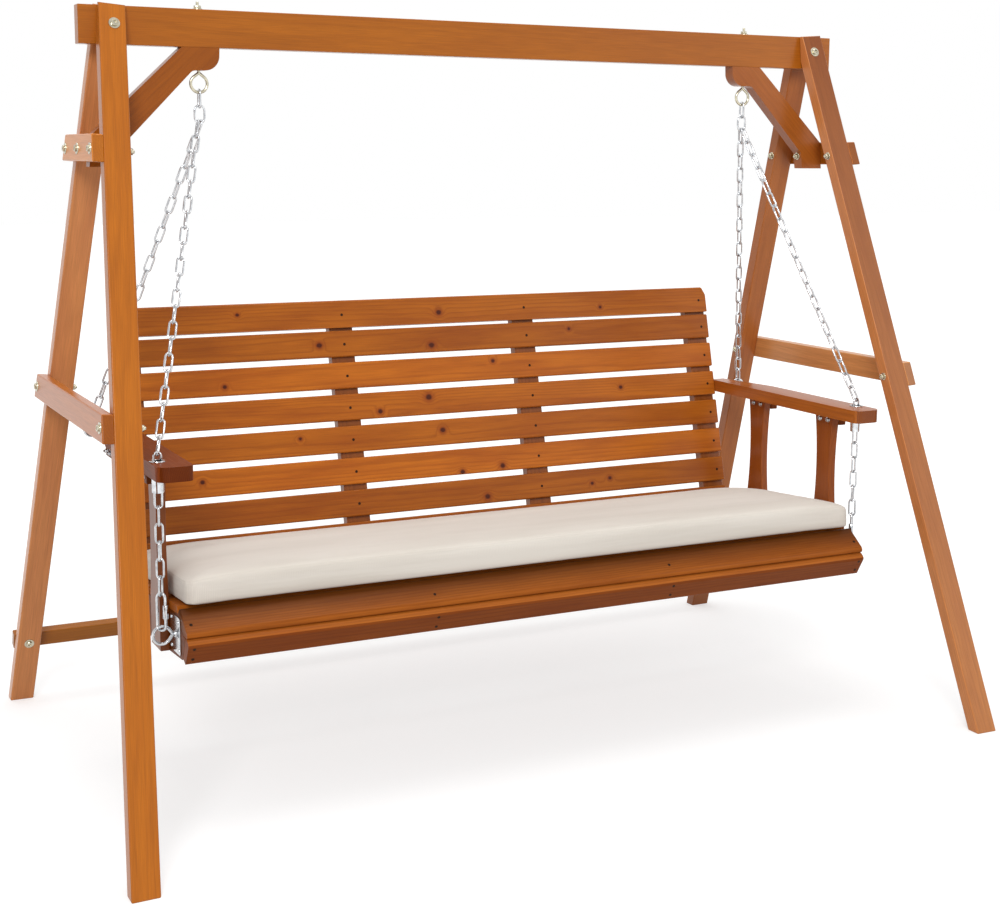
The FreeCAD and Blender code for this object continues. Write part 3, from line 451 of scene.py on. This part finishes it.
# How much more or less red, green and blue a board gives back than its plain finish. Partly the board's own
# tone, partly painted light: the bluer shares of the legs and bars seen at a slant paint a pale sheen, and
# the darker left knee brace paints the beam's shade
STAND_TONE_SHEEN_AND_SHADE = {
    "leg_front_right": (1.34, 1.7, 9.4),
    "leg_rear_left": (1.36, 1.85, 12),
    "leg_rear_right": (0.97, 1.08, 4.6),
    "upper_side_bar_left": (1.55, 1.75, 1.9),
    "middle_side_bar_left": (1.1, 1.05, 1.1),
    "middle_side_bar_right": (1.5, 2.3, 14),
    "rear_stretcher": (0.77, 0.88, 1.3),
    "top_beam": (0.9, 0.9, 1.0),
    "knee_brace_left": (0.68, 0.6, 0.55),
    "knee_brace_right": (0.8, 0.78, 1.9),
}
# Stain of the side bars' end grain by face, and the painted reflection and shade up the right front leg
STAND_STAINS_AND_SHADE = {"leg_front_right": darker_upwards}
STAND_STAINS_AND_SHADE.update({node: end_grain for node in both("upper_side_bar", "middle_side_bar")})
SLAT_SHADES = (0.88, 0.86, 1.15, 1.03, 0.93, 1.15, 0.87, 0.9)
STILE_SHADE = 0.7
# The posts, and the supports and cleats, are darker on the left: painted shade over the bench's left end
BENCH_END_SHADES = (("left", 0.55, 0.75), ("right", 0.75, 0.95))
POST_STAIN = Vector((1, 0.88, 0.84))
# The left armrest is darker and redder than the right: painted shade
ARMRESTS = (("left", dull_fir, (0.55, 0.4, 0.3)), ("right", clear_fir, even(1)))
# Rounding of the edges; the broad boards are the back slats and the armrests
STAND_EASE, BROAD_EASE, BENCH_EASE, FRONT_EASE = 3 * MM, 4 * MM, 2 * MM, 1.5 * MM


def dress_boards():
    """All the timber of the stand and of the bench."""
    for node in STAND_BOARDS:
        shade, stain = STAND_TONE_SHEEN_AND_SHADE.get(node, even(1)), STAND_STAINS_AND_SHADE.get(node)
        dress_board(node, "stand", honey_pine, "stand_wood", STAND_EASE, shade=shade, stain=stain)
    for number, (node, shade) in enumerate(zip(BACK_SLATS, SLAT_SHADES), start=1):
        dress_board(node, "swing", knotty_fir, "bench_wood", BROAD_EASE, ALONG_BEAM, number, even(shade))
    for node in SEAT_SLATS:
        dress_board(node, "swing", dull_fir, "bench_wood", BENCH_EASE, ALONG_BEAM)
    # Painted shade on the roll slat under the cushion, and painted light on the fascia's chamfer
    fronts = (("front_roll_slat", dull_fir, shade_under_cushion), ("front_fascia", red_fir, lit_chamfer))
    for node, finish, stain in fronts:
        dress_board(node, "swing", finish, "bench_wood", FRONT_EASE, ALONG_BEAM, stain=stain)
    for node in STILES:
        dress_board(node, "swing", clear_fir, "bench_wood", BENCH_EASE, shade=even(STILE_SHADE))
    for side, post_share, rail_share in BENCH_END_SHADES:
        for post in ("arm_post_front", "arm_post_rear"):
            shade = POST_STAIN * post_share
            dress_board(f"{post}_{side}", "swing", clear_fir, "bench_wood", BENCH_EASE, shade=shade)
        for rail in ("seat_support_end", "seat_support_middle", "arm_cleats"):
            looks = {"along": FRONT_TO_BACK, "shade": even(rail_share)}
            dress_board(f"{rail}_{side}", "swing", red_fir, "bench_wood", BENCH_EASE, **looks)
    for side, finish, shade in ARMRESTS:
        looks = {"shade": shade, "stain": end_grain}
        dress_board(f"armrest_{side}", "swing", finish, "bench_wood", BROAD_EASE, FRONT_TO_BACK, **looks)


def turned(profile, sides, hollow=False):
    """Profile of radius and height in millimetres spun round Z; a hollow one joins its own ends."""
    bm = bmesh.new()
    verts = [bm.verts.new((radius * MM, 0, height * MM)) for radius, height in profile]
    ends = zip(verts, verts[1:] + verts[:1]) if hollow else zip(verts, verts[1:])
    edges = [bm.edges.new(pair) for pair in ends]
    turn = {"cent": (0, 0, 0), "axis": (0, 0, 1), "angle": math.tau}
    bmesh.ops.spin(bm, geom=verts + edges, steps=sides, use_merge=True, **turn)
    bmesh.ops.remove_doubles(bm, verts=bm.verts, dist=0.01 * MM)
    bmesh.ops.recalc_face_normals(bm, faces=bm.faces)
    return bm


def facing(place, axis, roll=0.0):
    """Placement that turns Z to an axis."""
    turn = Vector((0, 0, 1)).rotation_difference(Vector(axis)).to_matrix().to_4x4()
    return Matrix.Translation(place) @ turn @ Matrix.Rotation(roll, 4, "Z")


def set_in(target, source, matrix):
    """Add a placed copy of a bmesh to another."""
    mesh = bpy.data.meshes.new("copy")
    source.to_mesh(mesh)
    mesh.transform(matrix)
    if matrix.determinant() < 0:
        mesh.flip_normals()
    target.from_mesh(mesh)
    bpy.data.meshes.remove(mesh)


def new_parts(result, kind):
    """Vertices or edges among an operator's new geometry."""
    return [part for part in result if isinstance(part, kind)]


def draw_out(bm, edges, step):
    """Extrude a loop of wire by a step and return its new end."""
    made = bmesh.ops.extrude_edge_only(bm, edges=edges)["geom"]
    bmesh.ops.translate(bm, vec=step, verts=new_parts(made, bmesh.types.BMVert))
    return new_parts(made, bmesh.types.BMEdge)


def bend_round(bm, edges, centre, angle, steps):
    """Spin a loop of wire about an upright axis and return its new end."""
    verts = list(dict.fromkeys(vert for edge in edges for vert in edge.verts))
    turn = {"cent": centre, "axis": (0, 0, 1), "angle": angle, "steps": steps}
    return new_parts(bmesh.ops.spin(bm, geom=verts + edges, **turn)["geom_last"], bmesh.types.BMEdge)


def wire_end(bm, wire, radius, around):
    """Loop round a wire that starts at a radius on X and heads along Y."""
    loop = bmesh.ops.create_circle(bm, segments=around, radius=wire / 2)["verts"]
    upright = Matrix.Translation((radius, 0, 0)) @ Matrix.Rotation(math.pi / 2, 4, "X")
    bmesh.ops.transform(bm, matrix=upright, verts=loop)
    return list(bm.edges)


def oval_link(wire, radius, straight):
    """Closed oval of round wire in the XY plane, its straight sides along Y."""
    bm = bmesh.new()
    edges = wire_end(bm, wire, radius, 8)
    bmesh.ops.translate(bm, vec=(0, -straight, 0), verts=bm.verts)
    for way in (1, -1):
        edges = draw_out(bm, edges, (0, 2 * straight * way, 0))
        edges = bend_round(bm, edges, (0, straight * way, 0), math.pi, 6)
    bmesh.ops.remove_doubles(bm, verts=bm.verts, dist=0.05 * MM)
    bmesh.ops.recalc_face_normals(bm, faces=bm.faces)
    return bm


def pear_eye(wire, radius, apex):
    """Pear-shaped eye of round wire in the XY plane, its point up along Y."""
    bm = bmesh.new()
    opening = math.acos(radius / apex)
    first = wire_end(bm, wire, radius, 12)
    start = Matrix.Rotation(math.pi / 2 + opening, 4, "Z")
    bmesh.ops.transform(bm, matrix=start, verts=bm.verts)
    last = bend_round(bm, first, (0, 0, 0), math.tau - 2 * opening, 20)
    for edges, side in ((first, -1), (last, 1)):
        tangent = Vector((side * math.sin(opening), math.cos(opening), 0)) * radius
        edges = draw_out(bm, edges, Vector((0, apex, 0)) - tangent)
        bmesh.ops.edgeloop_fill(bm, edges=edges)
    bmesh.ops.recalc_face_normals(bm, faces=bm.faces)
    return bm


def hex_nut(width, height):
    """Hexagon of a width across its flats in millimetres, standing on the XY plane, its corners eased."""
    bm = bmesh.new()
    corner = width / math.sqrt(3) * MM
    size = {"radius1": corner, "radius2": corner, "depth": height * MM}
    bmesh.ops.create_cone(bm, cap_ends=True, segments=6, **size)
    bmesh.ops.translate(bm, vec=(0, 0, height / 2 * MM), verts=bm.verts)
    ease_edges(bm, list(bm.edges), 0.6 * MM, 1)
    return bm


def joined(*parts):
    """One bmesh of several, each with its height up Z in millimetres."""
    bm = bmesh.new()
    for part, height in parts:
        set_in(bm, part, Matrix.Translation((0, 0, height * MM)))
        part.free()
    return bm


def washer(width, thick):
    """Round washer with broken edges, closed in the middle where the bolt passes."""
    half = width / 2
    return turned(((0, 0), (half, 0), (half, thick * 0.6), (half - 0.5, thick), (0, thick)), 24)


def bolt_tip(width, length):
    """End of a bolt that stands out of its nut."""
    half = width / 2
    return turned(((half, 0), (half, length - 1), (half - 1, length), (0, length)), 12)


def socket_head(width, height):
    """Round bolt head with a sunk socket."""
    half = width / 2
    profile = ((half, 0), (half, height - 1.2), (half - 1.2, height), (half * 0.55, height))
    return turned(profile + ((half * 0.5, height * 0.35), (0, height * 0.35)), 18)


def eye_bolt(centre, way, eye, reach):
    """Pear eye about a centre with its round shank along a direction."""
    bm = bmesh.new()
    across = Vector(way).cross(Vector((0, 1, 0)))
    matrix = Matrix((across, way, (0, 1, 0))).transposed().to_4x4()
    matrix.translation = centre
    ring = pear_eye(**eye)
    set_in(bm, ring, matrix)
    ring.free()
    half = eye["wire"] / 2 / MM
    start = eye["apex"] / MM - half
    shank = turned(((0, start), (half, start), (half, reach - 1), (half - 1, reach), (0, reach)), 14)
    set_in(bm, shank, facing(centre, way))
    shank.free()
    return bm


def islands(node):
    """Points of each separate solid of a node, in the order of its mesh."""
    bm = merged_copy(node)
    seen = set()
    groups = []
    for first in bm.verts:
        group, waiting = [], [first]
        while waiting:
            vert = waiting.pop()
            if vert not in seen:
                seen.add(vert)
                group.append(vert.co.copy())
                waiting += [edge.other_vert(vert) for edge in vert.link_edges]
        if group:
            groups.append(np.array(group))
    bm.free()
    return groups


# Quick link: wire, radius of its ends, half of its straight sides, height of its middle, sleeve
QUICK_WIRE, QUICK_RADIUS, QUICK_STRAIGHT = 6.5 * MM, 10.25 * MM, 31.75 * MM
QUICK_MIDDLE = 468.65 * MM
QUICK_SLEEVE = 30
# A link with a longer half than this is a quick link
CHAIN_LINK_HALF = 32 * MM


def quick_link(side):
    """Long link closed by a hexagon sleeve, an eighth of a turn round from the beam's direction."""
    bm = oval_link(QUICK_WIRE, QUICK_RADIUS, QUICK_STRAIGHT)
    sleeve = hex_nut(11, QUICK_SLEEVE)
    set_in(bm, sleeve, facing((QUICK_RADIUS, QUICK_SLEEVE / 2 * MM, 0), (0, -1, 0)))
    sleeve.free()
    stand_up = Matrix.Rotation(math.pi / 2, 4, "X")
    turn = Matrix.Rotation(-math.pi / 4, 4, "Z")
    mirror = Matrix.Diagonal((-side, 1, 1, 1))
    place = Matrix.Translation((side * SEAT_EYE_SPOT.x, SEAT_EYE_SPOT.y, QUICK_MIDDLE))
    bmesh.ops.transform(bm, matrix=place @ mirror @ turn @ stand_up, verts=bm.verts)
    bmesh.ops.recalc_face_normals(bm, faces=bm.faces)
    return bm


def build_chain(node, side):
    """Round-wire links where the solid links are, with the quick link at the foot of the lower chain."""
    bm = bmesh.new()
    for points in islands(node):
        middle = (points.max(0) + points.min(0)) / 2
        cloud = points - middle
        along, across, _ = np.linalg.svd(cloud, full_matrices=False)[2]
        long_half, wide_half = np.abs(cloud @ along).max(), np.abs(cloud @ across).max()
        if long_half > CHAIN_LINK_HALF:
            link = quick_link(side)
            set_in(bm, link, Matrix.Identity(4))
        else:
            radius = wide_half - CHAIN_WIRE / 2
            link = oval_link(CHAIN_WIRE, radius, long_half - wide_half)
            matrix = Matrix((across, along, np.cross(across, along))).transposed().to_4x4()
            matrix.translation = middle
            set_in(bm, link, matrix)
        link.free()
    add_piece(node + "_links", bm, "swing", bright_zinc, [node], sharp=60)


# Eye bolts in millimetres: the top one above the beam, the others from the middle of the eye
TOP_BOLT_TIP, REAR_BOLT, SEAT_BOLT = 18, 70, 73
TOP_NUT_TURN = 0.3
# Seat plate, its middle's and its nut's distance from the middle of the bench, and its screws
PLATE_SIZE = Vector((3, 76, 84)) * MM
PLATE_X, PLATE_NUT_X = 912.5 * MM, 883 * MM
PLATE_SCREWS = ((-28, -32), (-28, 32), (28, -32), (28, 32))
# Chain sleeve in the armrest: radius and height along its tube and round its flange
SLEEVE_TUBE = ((11.8, -68), (13.5, -68), (13.5, 0))
SLEEVE_FLANGE = ((17.4, 0), (18, 0.6), (17.6, 1.7), (16.8, 2), (12.6, 2), (11.8, 1.2))


def build_fittings(name, side):
    """Eye bolts, eye plate and chain sleeve of one side."""
    up, inward = Vector((0, 0, 1)), Vector((-side, 0, 0))
    mirrored = Matrix.Diagonal((side, 1, 1, 1))
    centre = mirrored @ TOP_EYE_SPOT
    top = (BEAM_TOP - centre.z) / MM
    bm = eye_bolt(centre, up, TOP_EYE, top + TOP_BOLT_TIP)
    nut = joined((washer(24, 2), top), (hex_nut(15, 7), top + 2))
    set_in(bm, nut, facing(centre, up, TOP_NUT_TURN))
    nut.free()
    node = f"top_eye_bolt_{name}"
    add_piece(node + "_bent", bm, "stand", yellow_zinc, [node])

    bm = eye_bolt(mirrored @ REAR_EYE_SPOT, inward, REAR_EYE, REAR_BOLT)
    node = f"rear_eye_bolt_{name}"
    add_piece(node + "_bent", bm, "swing", bright_zinc, [node])

    node = f"seat_eye_and_plate_{name}"
    centre = mirrored @ SEAT_EYE_SPOT
    bm = eye_bolt(centre, inward, SEAT_EYE, SEAT_BOLT)
    nut = joined((washer(18, 1.6), 0), (hex_nut(12, 5), 1.6))
    set_in(bm, nut, facing((side * PLATE_NUT_X, centre.y, centre.z), inward))
    nut.free()
    plate = bmesh.new()
    bmesh.ops.create_cube(plate, size=1, matrix=Matrix.Diagonal((*PLATE_SIZE, 1)))
    corners = [edge for edge in plate.edges if abs(edge.verts[0].co.x - edge.verts[1].co.x) > MM]
    ease_edges(plate, corners, 7 * MM, 4)
    ease_edges(plate, [edge for edge in plate.edges if edge.calc_face_angle() > 1], 0.6 * MM, 1)
    middle = Vector((side * PLATE_X, centre.y, centre.z))
    set_in(bm, plate, Matrix.Translation(middle))
    plate.free()
    outer_face = middle - inward * PLATE_SIZE.x / 2
    screw = socket_head(8, 2)
    for back, rise in PLATE_SCREWS:
        set_in(bm, screw, facing(outer_face + Vector((0, back, rise)) * MM, -inward))
    collar = washer(16, 2)
    set_in(bm, collar, facing(outer_face, -inward))
    for part in (screw, collar):
        part.free()
    add_piece(node + "_bent", bm, "swing", bright_zinc, [node])

    node = f"arm_sleeve_{name}"
    tube = turned(SLEEVE_TUBE + SLEEVE_FLANGE, 32, hollow=True)
    bm = bmesh.new()
    set_in(bm, tube, Matrix.Translation((centre.x, centre.y, ARM_TOP)))
    tube.free()
    add_piece(node + "_turned", bm, "swing", bright_zinc, [node])


# A line to the face of a piece starts this far back, in metres, outside of the piece
OUTSIDE = 2


def on_surface(node, spot, way):
    """Point and outward normal where a line through a spot, in millimetres, first meets a solid."""
    mesh = nodes[node].data
    solid = BVHTree.FromPolygons([v.co for v in mesh.vertices], [p.vertices for p in mesh.polygons])
    way = Vector(way)
    place, normal, _, _ = solid.ray_cast(Vector(spot) * MM - way * OUTSIDE, way)
    return place, normal


# Places of the bolts in millimetres, from the middle of the stand and the floor.
# Through beam and legs: how far out, back and up
BEAM_BOLT = Vector((951, 0, 1741))
# Side bars: the way up along the legs, and how far back each bolt is and what it goes into
SIDE_BAR_BOLTS = (
    ("upper_side_bar", 1471, ((-127, "leg_front"), (0, "knee_brace"), (127, "leg_rear"))),
    ("middle_side_bar", 893, ((-338, "leg_front"), (338, "leg_rear"))),
)
# Stretcher: how far out, back and up
STRETCHER_BOLT = Vector((1075, 0, 172))
# Posts, feet of the rear posts and stiles, all at the ends of the bench: how far back and up
BENCH_END = 900
POST_BOLTS = (
    ("arm_post_front", (-213, 757)),
    ("arm_post_front", (-179, 757)),
    ("arm_post_rear", (97, 757)),
    ("arm_post_rear", (131, 757)),
)
SUPPORT_BOLTS = ((114, 412), (114, 366))
STILE_BOLTS = ((196, 425), (186, 372))
# How far heads and nuts are turned round their bolts
HEAD_TURN = 0.4


def on_legs(side, run):
    """Point in millimetres between the outer faces of one side's legs, a way up along their slope."""
    return Vector((side * (FOOT_OUTER / MM - run * math.sin(LEG_SPLAY)), 0, run * math.cos(LEG_SPLAY)))


def bolt_through(bm, name, spot, way, pieces, heads):
    """A bolt along a line through two pieces of one side, with a head or nut on each."""
    for piece, inwards, head in zip(pieces, (way, -way), heads):
        place, normal = on_surface(f"{piece}_{name}", spot, inwards)
        set_in(bm, head, facing(place, normal, HEAD_TURN))


def build_bolts():
    """Bolts of the stand's joints and of the bench, washers and nuts where they come through."""
    head = joined((washer(26, 2), 0), (socket_head(15, 5), 2))
    nut = joined((washer(20, 1.6), 0), (hex_nut(13, 6.5), 1.6), (bolt_tip(8, 4), 8))
    stand, bench = bmesh.new(), bmesh.new()
    small_head = joined((washer(15, 1.5), 0), (socket_head(11, 4), 1.5))
    small_nut = joined((washer(15, 1.5), 0), (hex_nut(10, 5), 1.5), (bolt_tip(6, 5), 6))
    slope = Vector((math.cos(LEG_SPLAY), 0, -math.sin(LEG_SPLAY)))
    back = Vector(FRONT_TO_BACK)
    for name, side in SIDES:
        across = Vector((side, 1, 1))
        inward = Vector((-side * slope.x, 0, slope.z))
        bolt_through(stand, name, across * BEAM_BOLT, back, ("leg_front", "leg_rear"), (head, nut))
        for bar, run, bolts in SIDE_BAR_BOLTS:
            for place, inner in bolts:
                spot = on_legs(side, run) + back * place
                bolt_through(stand, name, spot, inward, (bar, inner), (head, nut))
        place, normal = on_surface(f"leg_rear_{name}", across * STRETCHER_BOLT, back)
        set_in(stand, head, facing(place, normal))
        place, normal = on_surface("rear_stretcher", across * STRETCHER_BOLT, -back)
        set_in(stand, nut, facing(place, normal, HEAD_TURN))

        level = Vector((-side, 0, 0))
        for post, (place, rise) in POST_BOLTS:
            spot = (side * BENCH_END, place, rise)
            bolt_through(bench, name, spot, level, ("arm_cleats", post), (small_nut, small_head))
        for place, rise in SUPPORT_BOLTS:
            spot, pieces = (side * BENCH_END, place, rise), ("arm_post_rear", "seat_support_end")
            bolt_through(bench, name, spot, level, pieces, (small_head, small_nut))
        for place, rise in STILE_BOLTS:
            place, normal = on_surface(f"seat_support_end_{name}", (side * BENCH_END, place, rise), level)
            set_in(bench, small_head, facing(place, normal))
    for part in (head, nut, small_head, small_nut):
        part.free()
    add_piece("stand_bolts", stand, "stand", yellow_zinc)
    add_piece("bench_bolts", bench, "swing", bright_zinc)


# Places of the screws along the bench, and their rows on the front boards, in millimetres
SLAT_SCREWS = (-858, -273, 273, 858)
FRONT_SCREWS = (-897, -320, 320, 897)
FRONT_ROWS = (("front_roll_slat", 452), ("front_fascia", 403), ("front_fascia", 377))


def build_screws():
    """Sunk screw heads where the slats and the front boards meet the stiles and the supports."""
    screw = turned(((0, 0.1), (1.7, 0.1), (2.1, 0.6), (3.3, 0.7), (3.8, 0.2), (3.8, -1)), 12)
    bm = bmesh.new()
    spots = []
    for node in BACK_SLATS:
        low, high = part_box(node)
        rise = (low[2] + high[2]) / 2 / MM
        spots += [(node, across, rise) for across in SLAT_SCREWS]
    for across in FRONT_SCREWS:
        spots += [(node, across, rise) for node, rise in FRONT_ROWS]
    for node, across, rise in spots:
        place, normal = on_surface(node, (across, 0, rise), FRONT_TO_BACK)
        set_in(bm, screw, facing(place, normal))
    screw.free()
    add_piece("bench_screws", bm, "swing", browned_steel)


# The pad starts this much smaller than its solid, with rounded corners and upper edges, and swells
CUSHION_SWELL = Vector((12, 12, 10)) * MM
CUSHION_CORNER, CUSHION_EDGE = 26 * MM, 14 * MM
CUSHION_VOXEL = 10 * MM
# Furthest that a point moves in the simulation, its length, and the pressure of the stuffing
CUSHION_CAP = 9 * MM
SIM_FRAMES = 20
STUFFING = 4
# How much thinner the cushion is at its back edge and at its ends, and how far in that reaches
BACK_TAPER, BACK_REACH = 26 * MM, 270 * MM
END_TAPER, END_REACH = 13 * MM, 170 * MM
# Slack of the cover above its flat underside, and its waves per metre along, across and up
SLACK, SLACK_RISE = 1.6 * MM, 20 * MM
SLACK_WAVES = Vector((2.4, 9, 22))
# Height of the sewn line as a share of the thickness
SEAM_SHARE = 0.8


def applied_mesh(piece):
    """Mesh of a piece with all its modifiers applied."""
    return bpy.data.meshes.new_from_object(piece.evaluated_get(bpy.context.evaluated_depsgraph_get()))


def points_of(mesh):
    """Places of a mesh's vertices, one to a row."""
    places = np.empty(len(mesh.vertices) * 3)
    mesh.vertices.foreach_get("co", places)
    return places.reshape(-1, 3)


def plain_pad(low, high):
    """Evenly meshed box with round corners, a little smaller than the space between two corners."""
    bm = bmesh.new()
    middle = (high + low) / 2
    size = Vector(high - low) - CUSHION_SWELL
    bmesh.ops.create_cube(bm, size=1, matrix=Matrix.Translation(middle) @ Matrix.Diagonal((*size, 1)))
    upright = [edge for edge in bm.edges if abs(edge.verts[0].co.z - edge.verts[1].co.z) > MM]
    ease_edges(bm, upright, CUSHION_CORNER, 5)
    upper = [edge for edge in bm.edges if min(vert.co.z for vert in edge.verts) > middle[2]]
    ease_edges(bm, upper, CUSHION_EDGE, 3)
    mesh = bpy.data.meshes.new("seat_cushion_cover")
    bm.to_mesh(mesh)
    bm.free()
    pad = bpy.data.objects.new("seat_cushion_cover", mesh)
    scene.collection.objects.link(pad)
    remesh = pad.modifiers.new("even_mesh", "REMESH")
    remesh.mode = "VOXEL"
    remesh.voxel_size = CUSHION_VOXEL
    pad.data = applied_mesh(pad)
    pad.modifiers.clear()
    return pad


def stuff(pad):
    """Places of a pad's points once the cloth simulation has swollen it, each move capped."""
    start = points_of(pad.data)
    cloth = pad.modifiers.new("stuffing", "CLOTH")
    cloth.settings.use_pressure = True
    cloth.settings.uniform_pressure_force = STUFFING
    cloth.settings.effector_weights.gravity = 0
    cloth.point_cache.frame_start = 1
    cloth.point_cache.frame_end = SIM_FRAMES
    for number in range(1, SIM_FRAMES + 1):
        scene.frame_set(number)
    swollen = applied_mesh(pad)
    pad.modifiers.clear()
    scene.frame_set(1)
    moved = points_of(swollen) - start
    bpy.data.meshes.remove(swollen)
    travel = np.linalg.norm(moved, axis=1, keepdims=True) + 1e-9
    return start + moved * (CUSHION_CAP * np.tanh(travel / CUSHION_CAP) / travel)


def build_cushion():
    """Foam pad in a canvas cover: stuffed by cloth simulation, flat where it lies on the slats."""
    node = "seat_cushion"
    corners = [Vector(corner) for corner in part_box(node)]
    level = Matrix.Rotation(SEAT_TILT, 4, "X") @ Matrix.Translation(-(corners[0] + corners[1]) / 2)
    bm = merged_copy(node)
    solid = np.array([level @ vert.co for vert in bm.verts])
    bm.free()
    low, high = solid.min(0), solid.max(0)
    floor, thick = low[2], high[2] - low[2]
    pad = plain_pad(low, high)
    places = stuff(pad)
    places[:, 2] = np.maximum(places[:, 2], floor)
    # The stuffed shape fills the space of the solid, and then thins towards its back and its ends
    places = low + (places - places.min(0)) * (high - low) / (places.max(0) - places.min(0))
    stuffed = places[:, 2] - floor
    back = np.clip(1 - (high[1] - places[:, 1]) / BACK_REACH, 0, 1)
    ends = np.clip(1 - (high[0] - np.abs(places[:, 0])) / END_REACH, 0, 1)
    places[:, 2] -= stuffed * (BACK_TAPER * back**2 + END_TAPER * ends**2) / thick
    heights = pad.data.attributes.new("stuffed_height", "FLOAT", "POINT")
    heights.data.foreach_set("value", stuffed.astype(np.float32))
    home = level.inverted()
    for vert, place in zip(pad.data.vertices, places):
        spot = Vector(place)
        slack = noise.noise(spot * SLACK_WAVES) * min(1, (spot.z - floor) / SLACK_RISE)
        vert.co = home @ (spot + vert.normal * slack * SLACK)
    pad.data.shade_smooth()
    pad.data.materials.clear()
    pad.data.materials.append(cotton_canvas(SEAM_SHARE * thick))
    smooth = pad.modifiers.new("soft_cover", "SUBSURF")
    smooth.levels = smooth.render_levels = 1
    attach(pad, "swing")
    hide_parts(node)


dress_boards()
for name, side in SIDES:
    for chain in ("front_chain", "front_chain_lower", "rear_chain"):
        build_chain(f"{chain}_{name}", side)
    build_fittings(name, side)
build_bolts()
build_screws()
build_cushion()


# Camera: standpoint in metres, heading, sensor in millimetres, focal length as a share of it, shift
EYE = Vector((-1.81386, -3.67715, 1.45820))
YAW, PITCH, ROLL = math.radians(26.57), math.radians(-8.60), math.radians(0.338)
SENSOR = 36
FOCAL_SHARE = 1.61637
LIFT = -0.0565
# Lamps: name, place and width in metres, power in watts; all aim at the middle of the object
LAMPS = (
    ("key", (-5.0, -9.0, 6.4), 4.0, 640),
    ("fill", (7.0, -7.0, 4.0), 6.0, 120),
    ("top", (0.0, 0.4, 6.0), 4.0, 110),
)
LAMP_AIM = Vector((0, 0, 0.7))
SKY_LIGHT = 0.55
FLOOR_HALF = 30
# The floor's own white, for the camera and reflections alone: near and far in metres, strength at each
FLOOR_GLOW = {1: 1.2, 2: 4.5, 3: 0.55, 4: 0.8}


def set_camera():
    """Camera at the photograph's standpoint."""
    ahead = Vector((math.sin(YAW) * math.cos(PITCH), math.cos(YAW) * math.cos(PITCH), math.sin(PITCH)))
    level = Vector((math.cos(YAW), -math.sin(YAW), 0))
    right = level * math.cos(ROLL) + level.cross(ahead) * math.sin(ROLL)
    data = bpy.data.cameras.new("camera")
    data.sensor_width = SENSOR
    data.lens = SENSOR * FOCAL_SHARE
    data.shift_y = LIFT
    camera = bpy.data.objects.new("camera", data)
    matrix = Matrix((right, right.cross(ahead), -ahead)).transposed().to_4x4()
    matrix.translation = EYE
    camera.matrix_world = matrix
    scene.collection.objects.link(camera)
    scene.camera = camera


def seen_directly(tree):
    """Factor that is 1 for rays that show the backdrop and 0 for rays that light the object."""
    path = add(tree, "ShaderNodeLightPath").outputs
    seen = path["Is Camera Ray"]
    for kind in ("Is Glossy Ray", "Is Transmission Ray"):
        seen = add(tree, "ShaderNodeMath", {0: seen, 1: path[kind]}, operation="MAXIMUM").outputs[0]
    return seen


def set_stage():
    """Pale floor that keeps the shadow, white backdrop and soft lamps."""
    bm = bmesh.new()
    bmesh.ops.create_grid(bm, x_segments=1, y_segments=1, size=FLOOR_HALF)
    mesh = bpy.data.meshes.new("floor")
    bm.to_mesh(mesh)
    bm.free()
    material, tree, shader = new_material("pale_floor")
    shader.inputs["Base Color"].default_value = colour("#C4C4C4")
    shader.inputs["Roughness"].default_value = 0.9
    shader.inputs["Specular IOR Level"].default_value = 0.1
    place = add(tree, "ShaderNodeTexCoord").outputs["Object"]
    away = add(tree, "ShaderNodeVectorMath", {0: place}, operation="LENGTH").outputs["Value"]
    far = add(tree, "ShaderNodeMapRange", {0: away, **FLOOR_GLOW}).outputs[0]
    glow = add(tree, "ShaderNodeMath", {0: seen_directly(tree), 1: far}, operation="MULTIPLY").outputs[0]
    shader.inputs["Emission Color"].default_value = (1, 1, 1, 1)
    tree.links.new(glow, shader.inputs["Emission Strength"])
    mesh.materials.append(material)
    floor = bpy.data.objects.new("floor", mesh)
    scene.collection.objects.link(floor)

    world = bpy.data.worlds.new("studio")
    scene.world = world
    world.use_nodes = True
    tree = world.node_tree
    backdrop = tree.nodes["Background"]
    backdrop.inputs["Color"].default_value = (1, 1, 1, 1)
    strength = add(tree, "ShaderNodeMapRange", {0: seen_directly(tree), 3: SKY_LIGHT, 4: 1.0}).outputs[0]
    tree.links.new(strength, backdrop.inputs["Strength"])

    for name, place, size, power in LAMPS:
        data = bpy.data.lights.new(name, "AREA")
        data.shape = "DISK"
        data.size = size
        data.energy = power
        lamp = bpy.data.objects.new(name, data)
        lamp.location = place
        aim = LAMP_AIM - Vector(place)
        lamp.rotation_euler = aim.to_track_quat("-Z", "Y").to_euler()
        scene.collection.objects.link(lamp)


set_camera()
set_stage()
scene.view_settings.view_transform = "Standard"
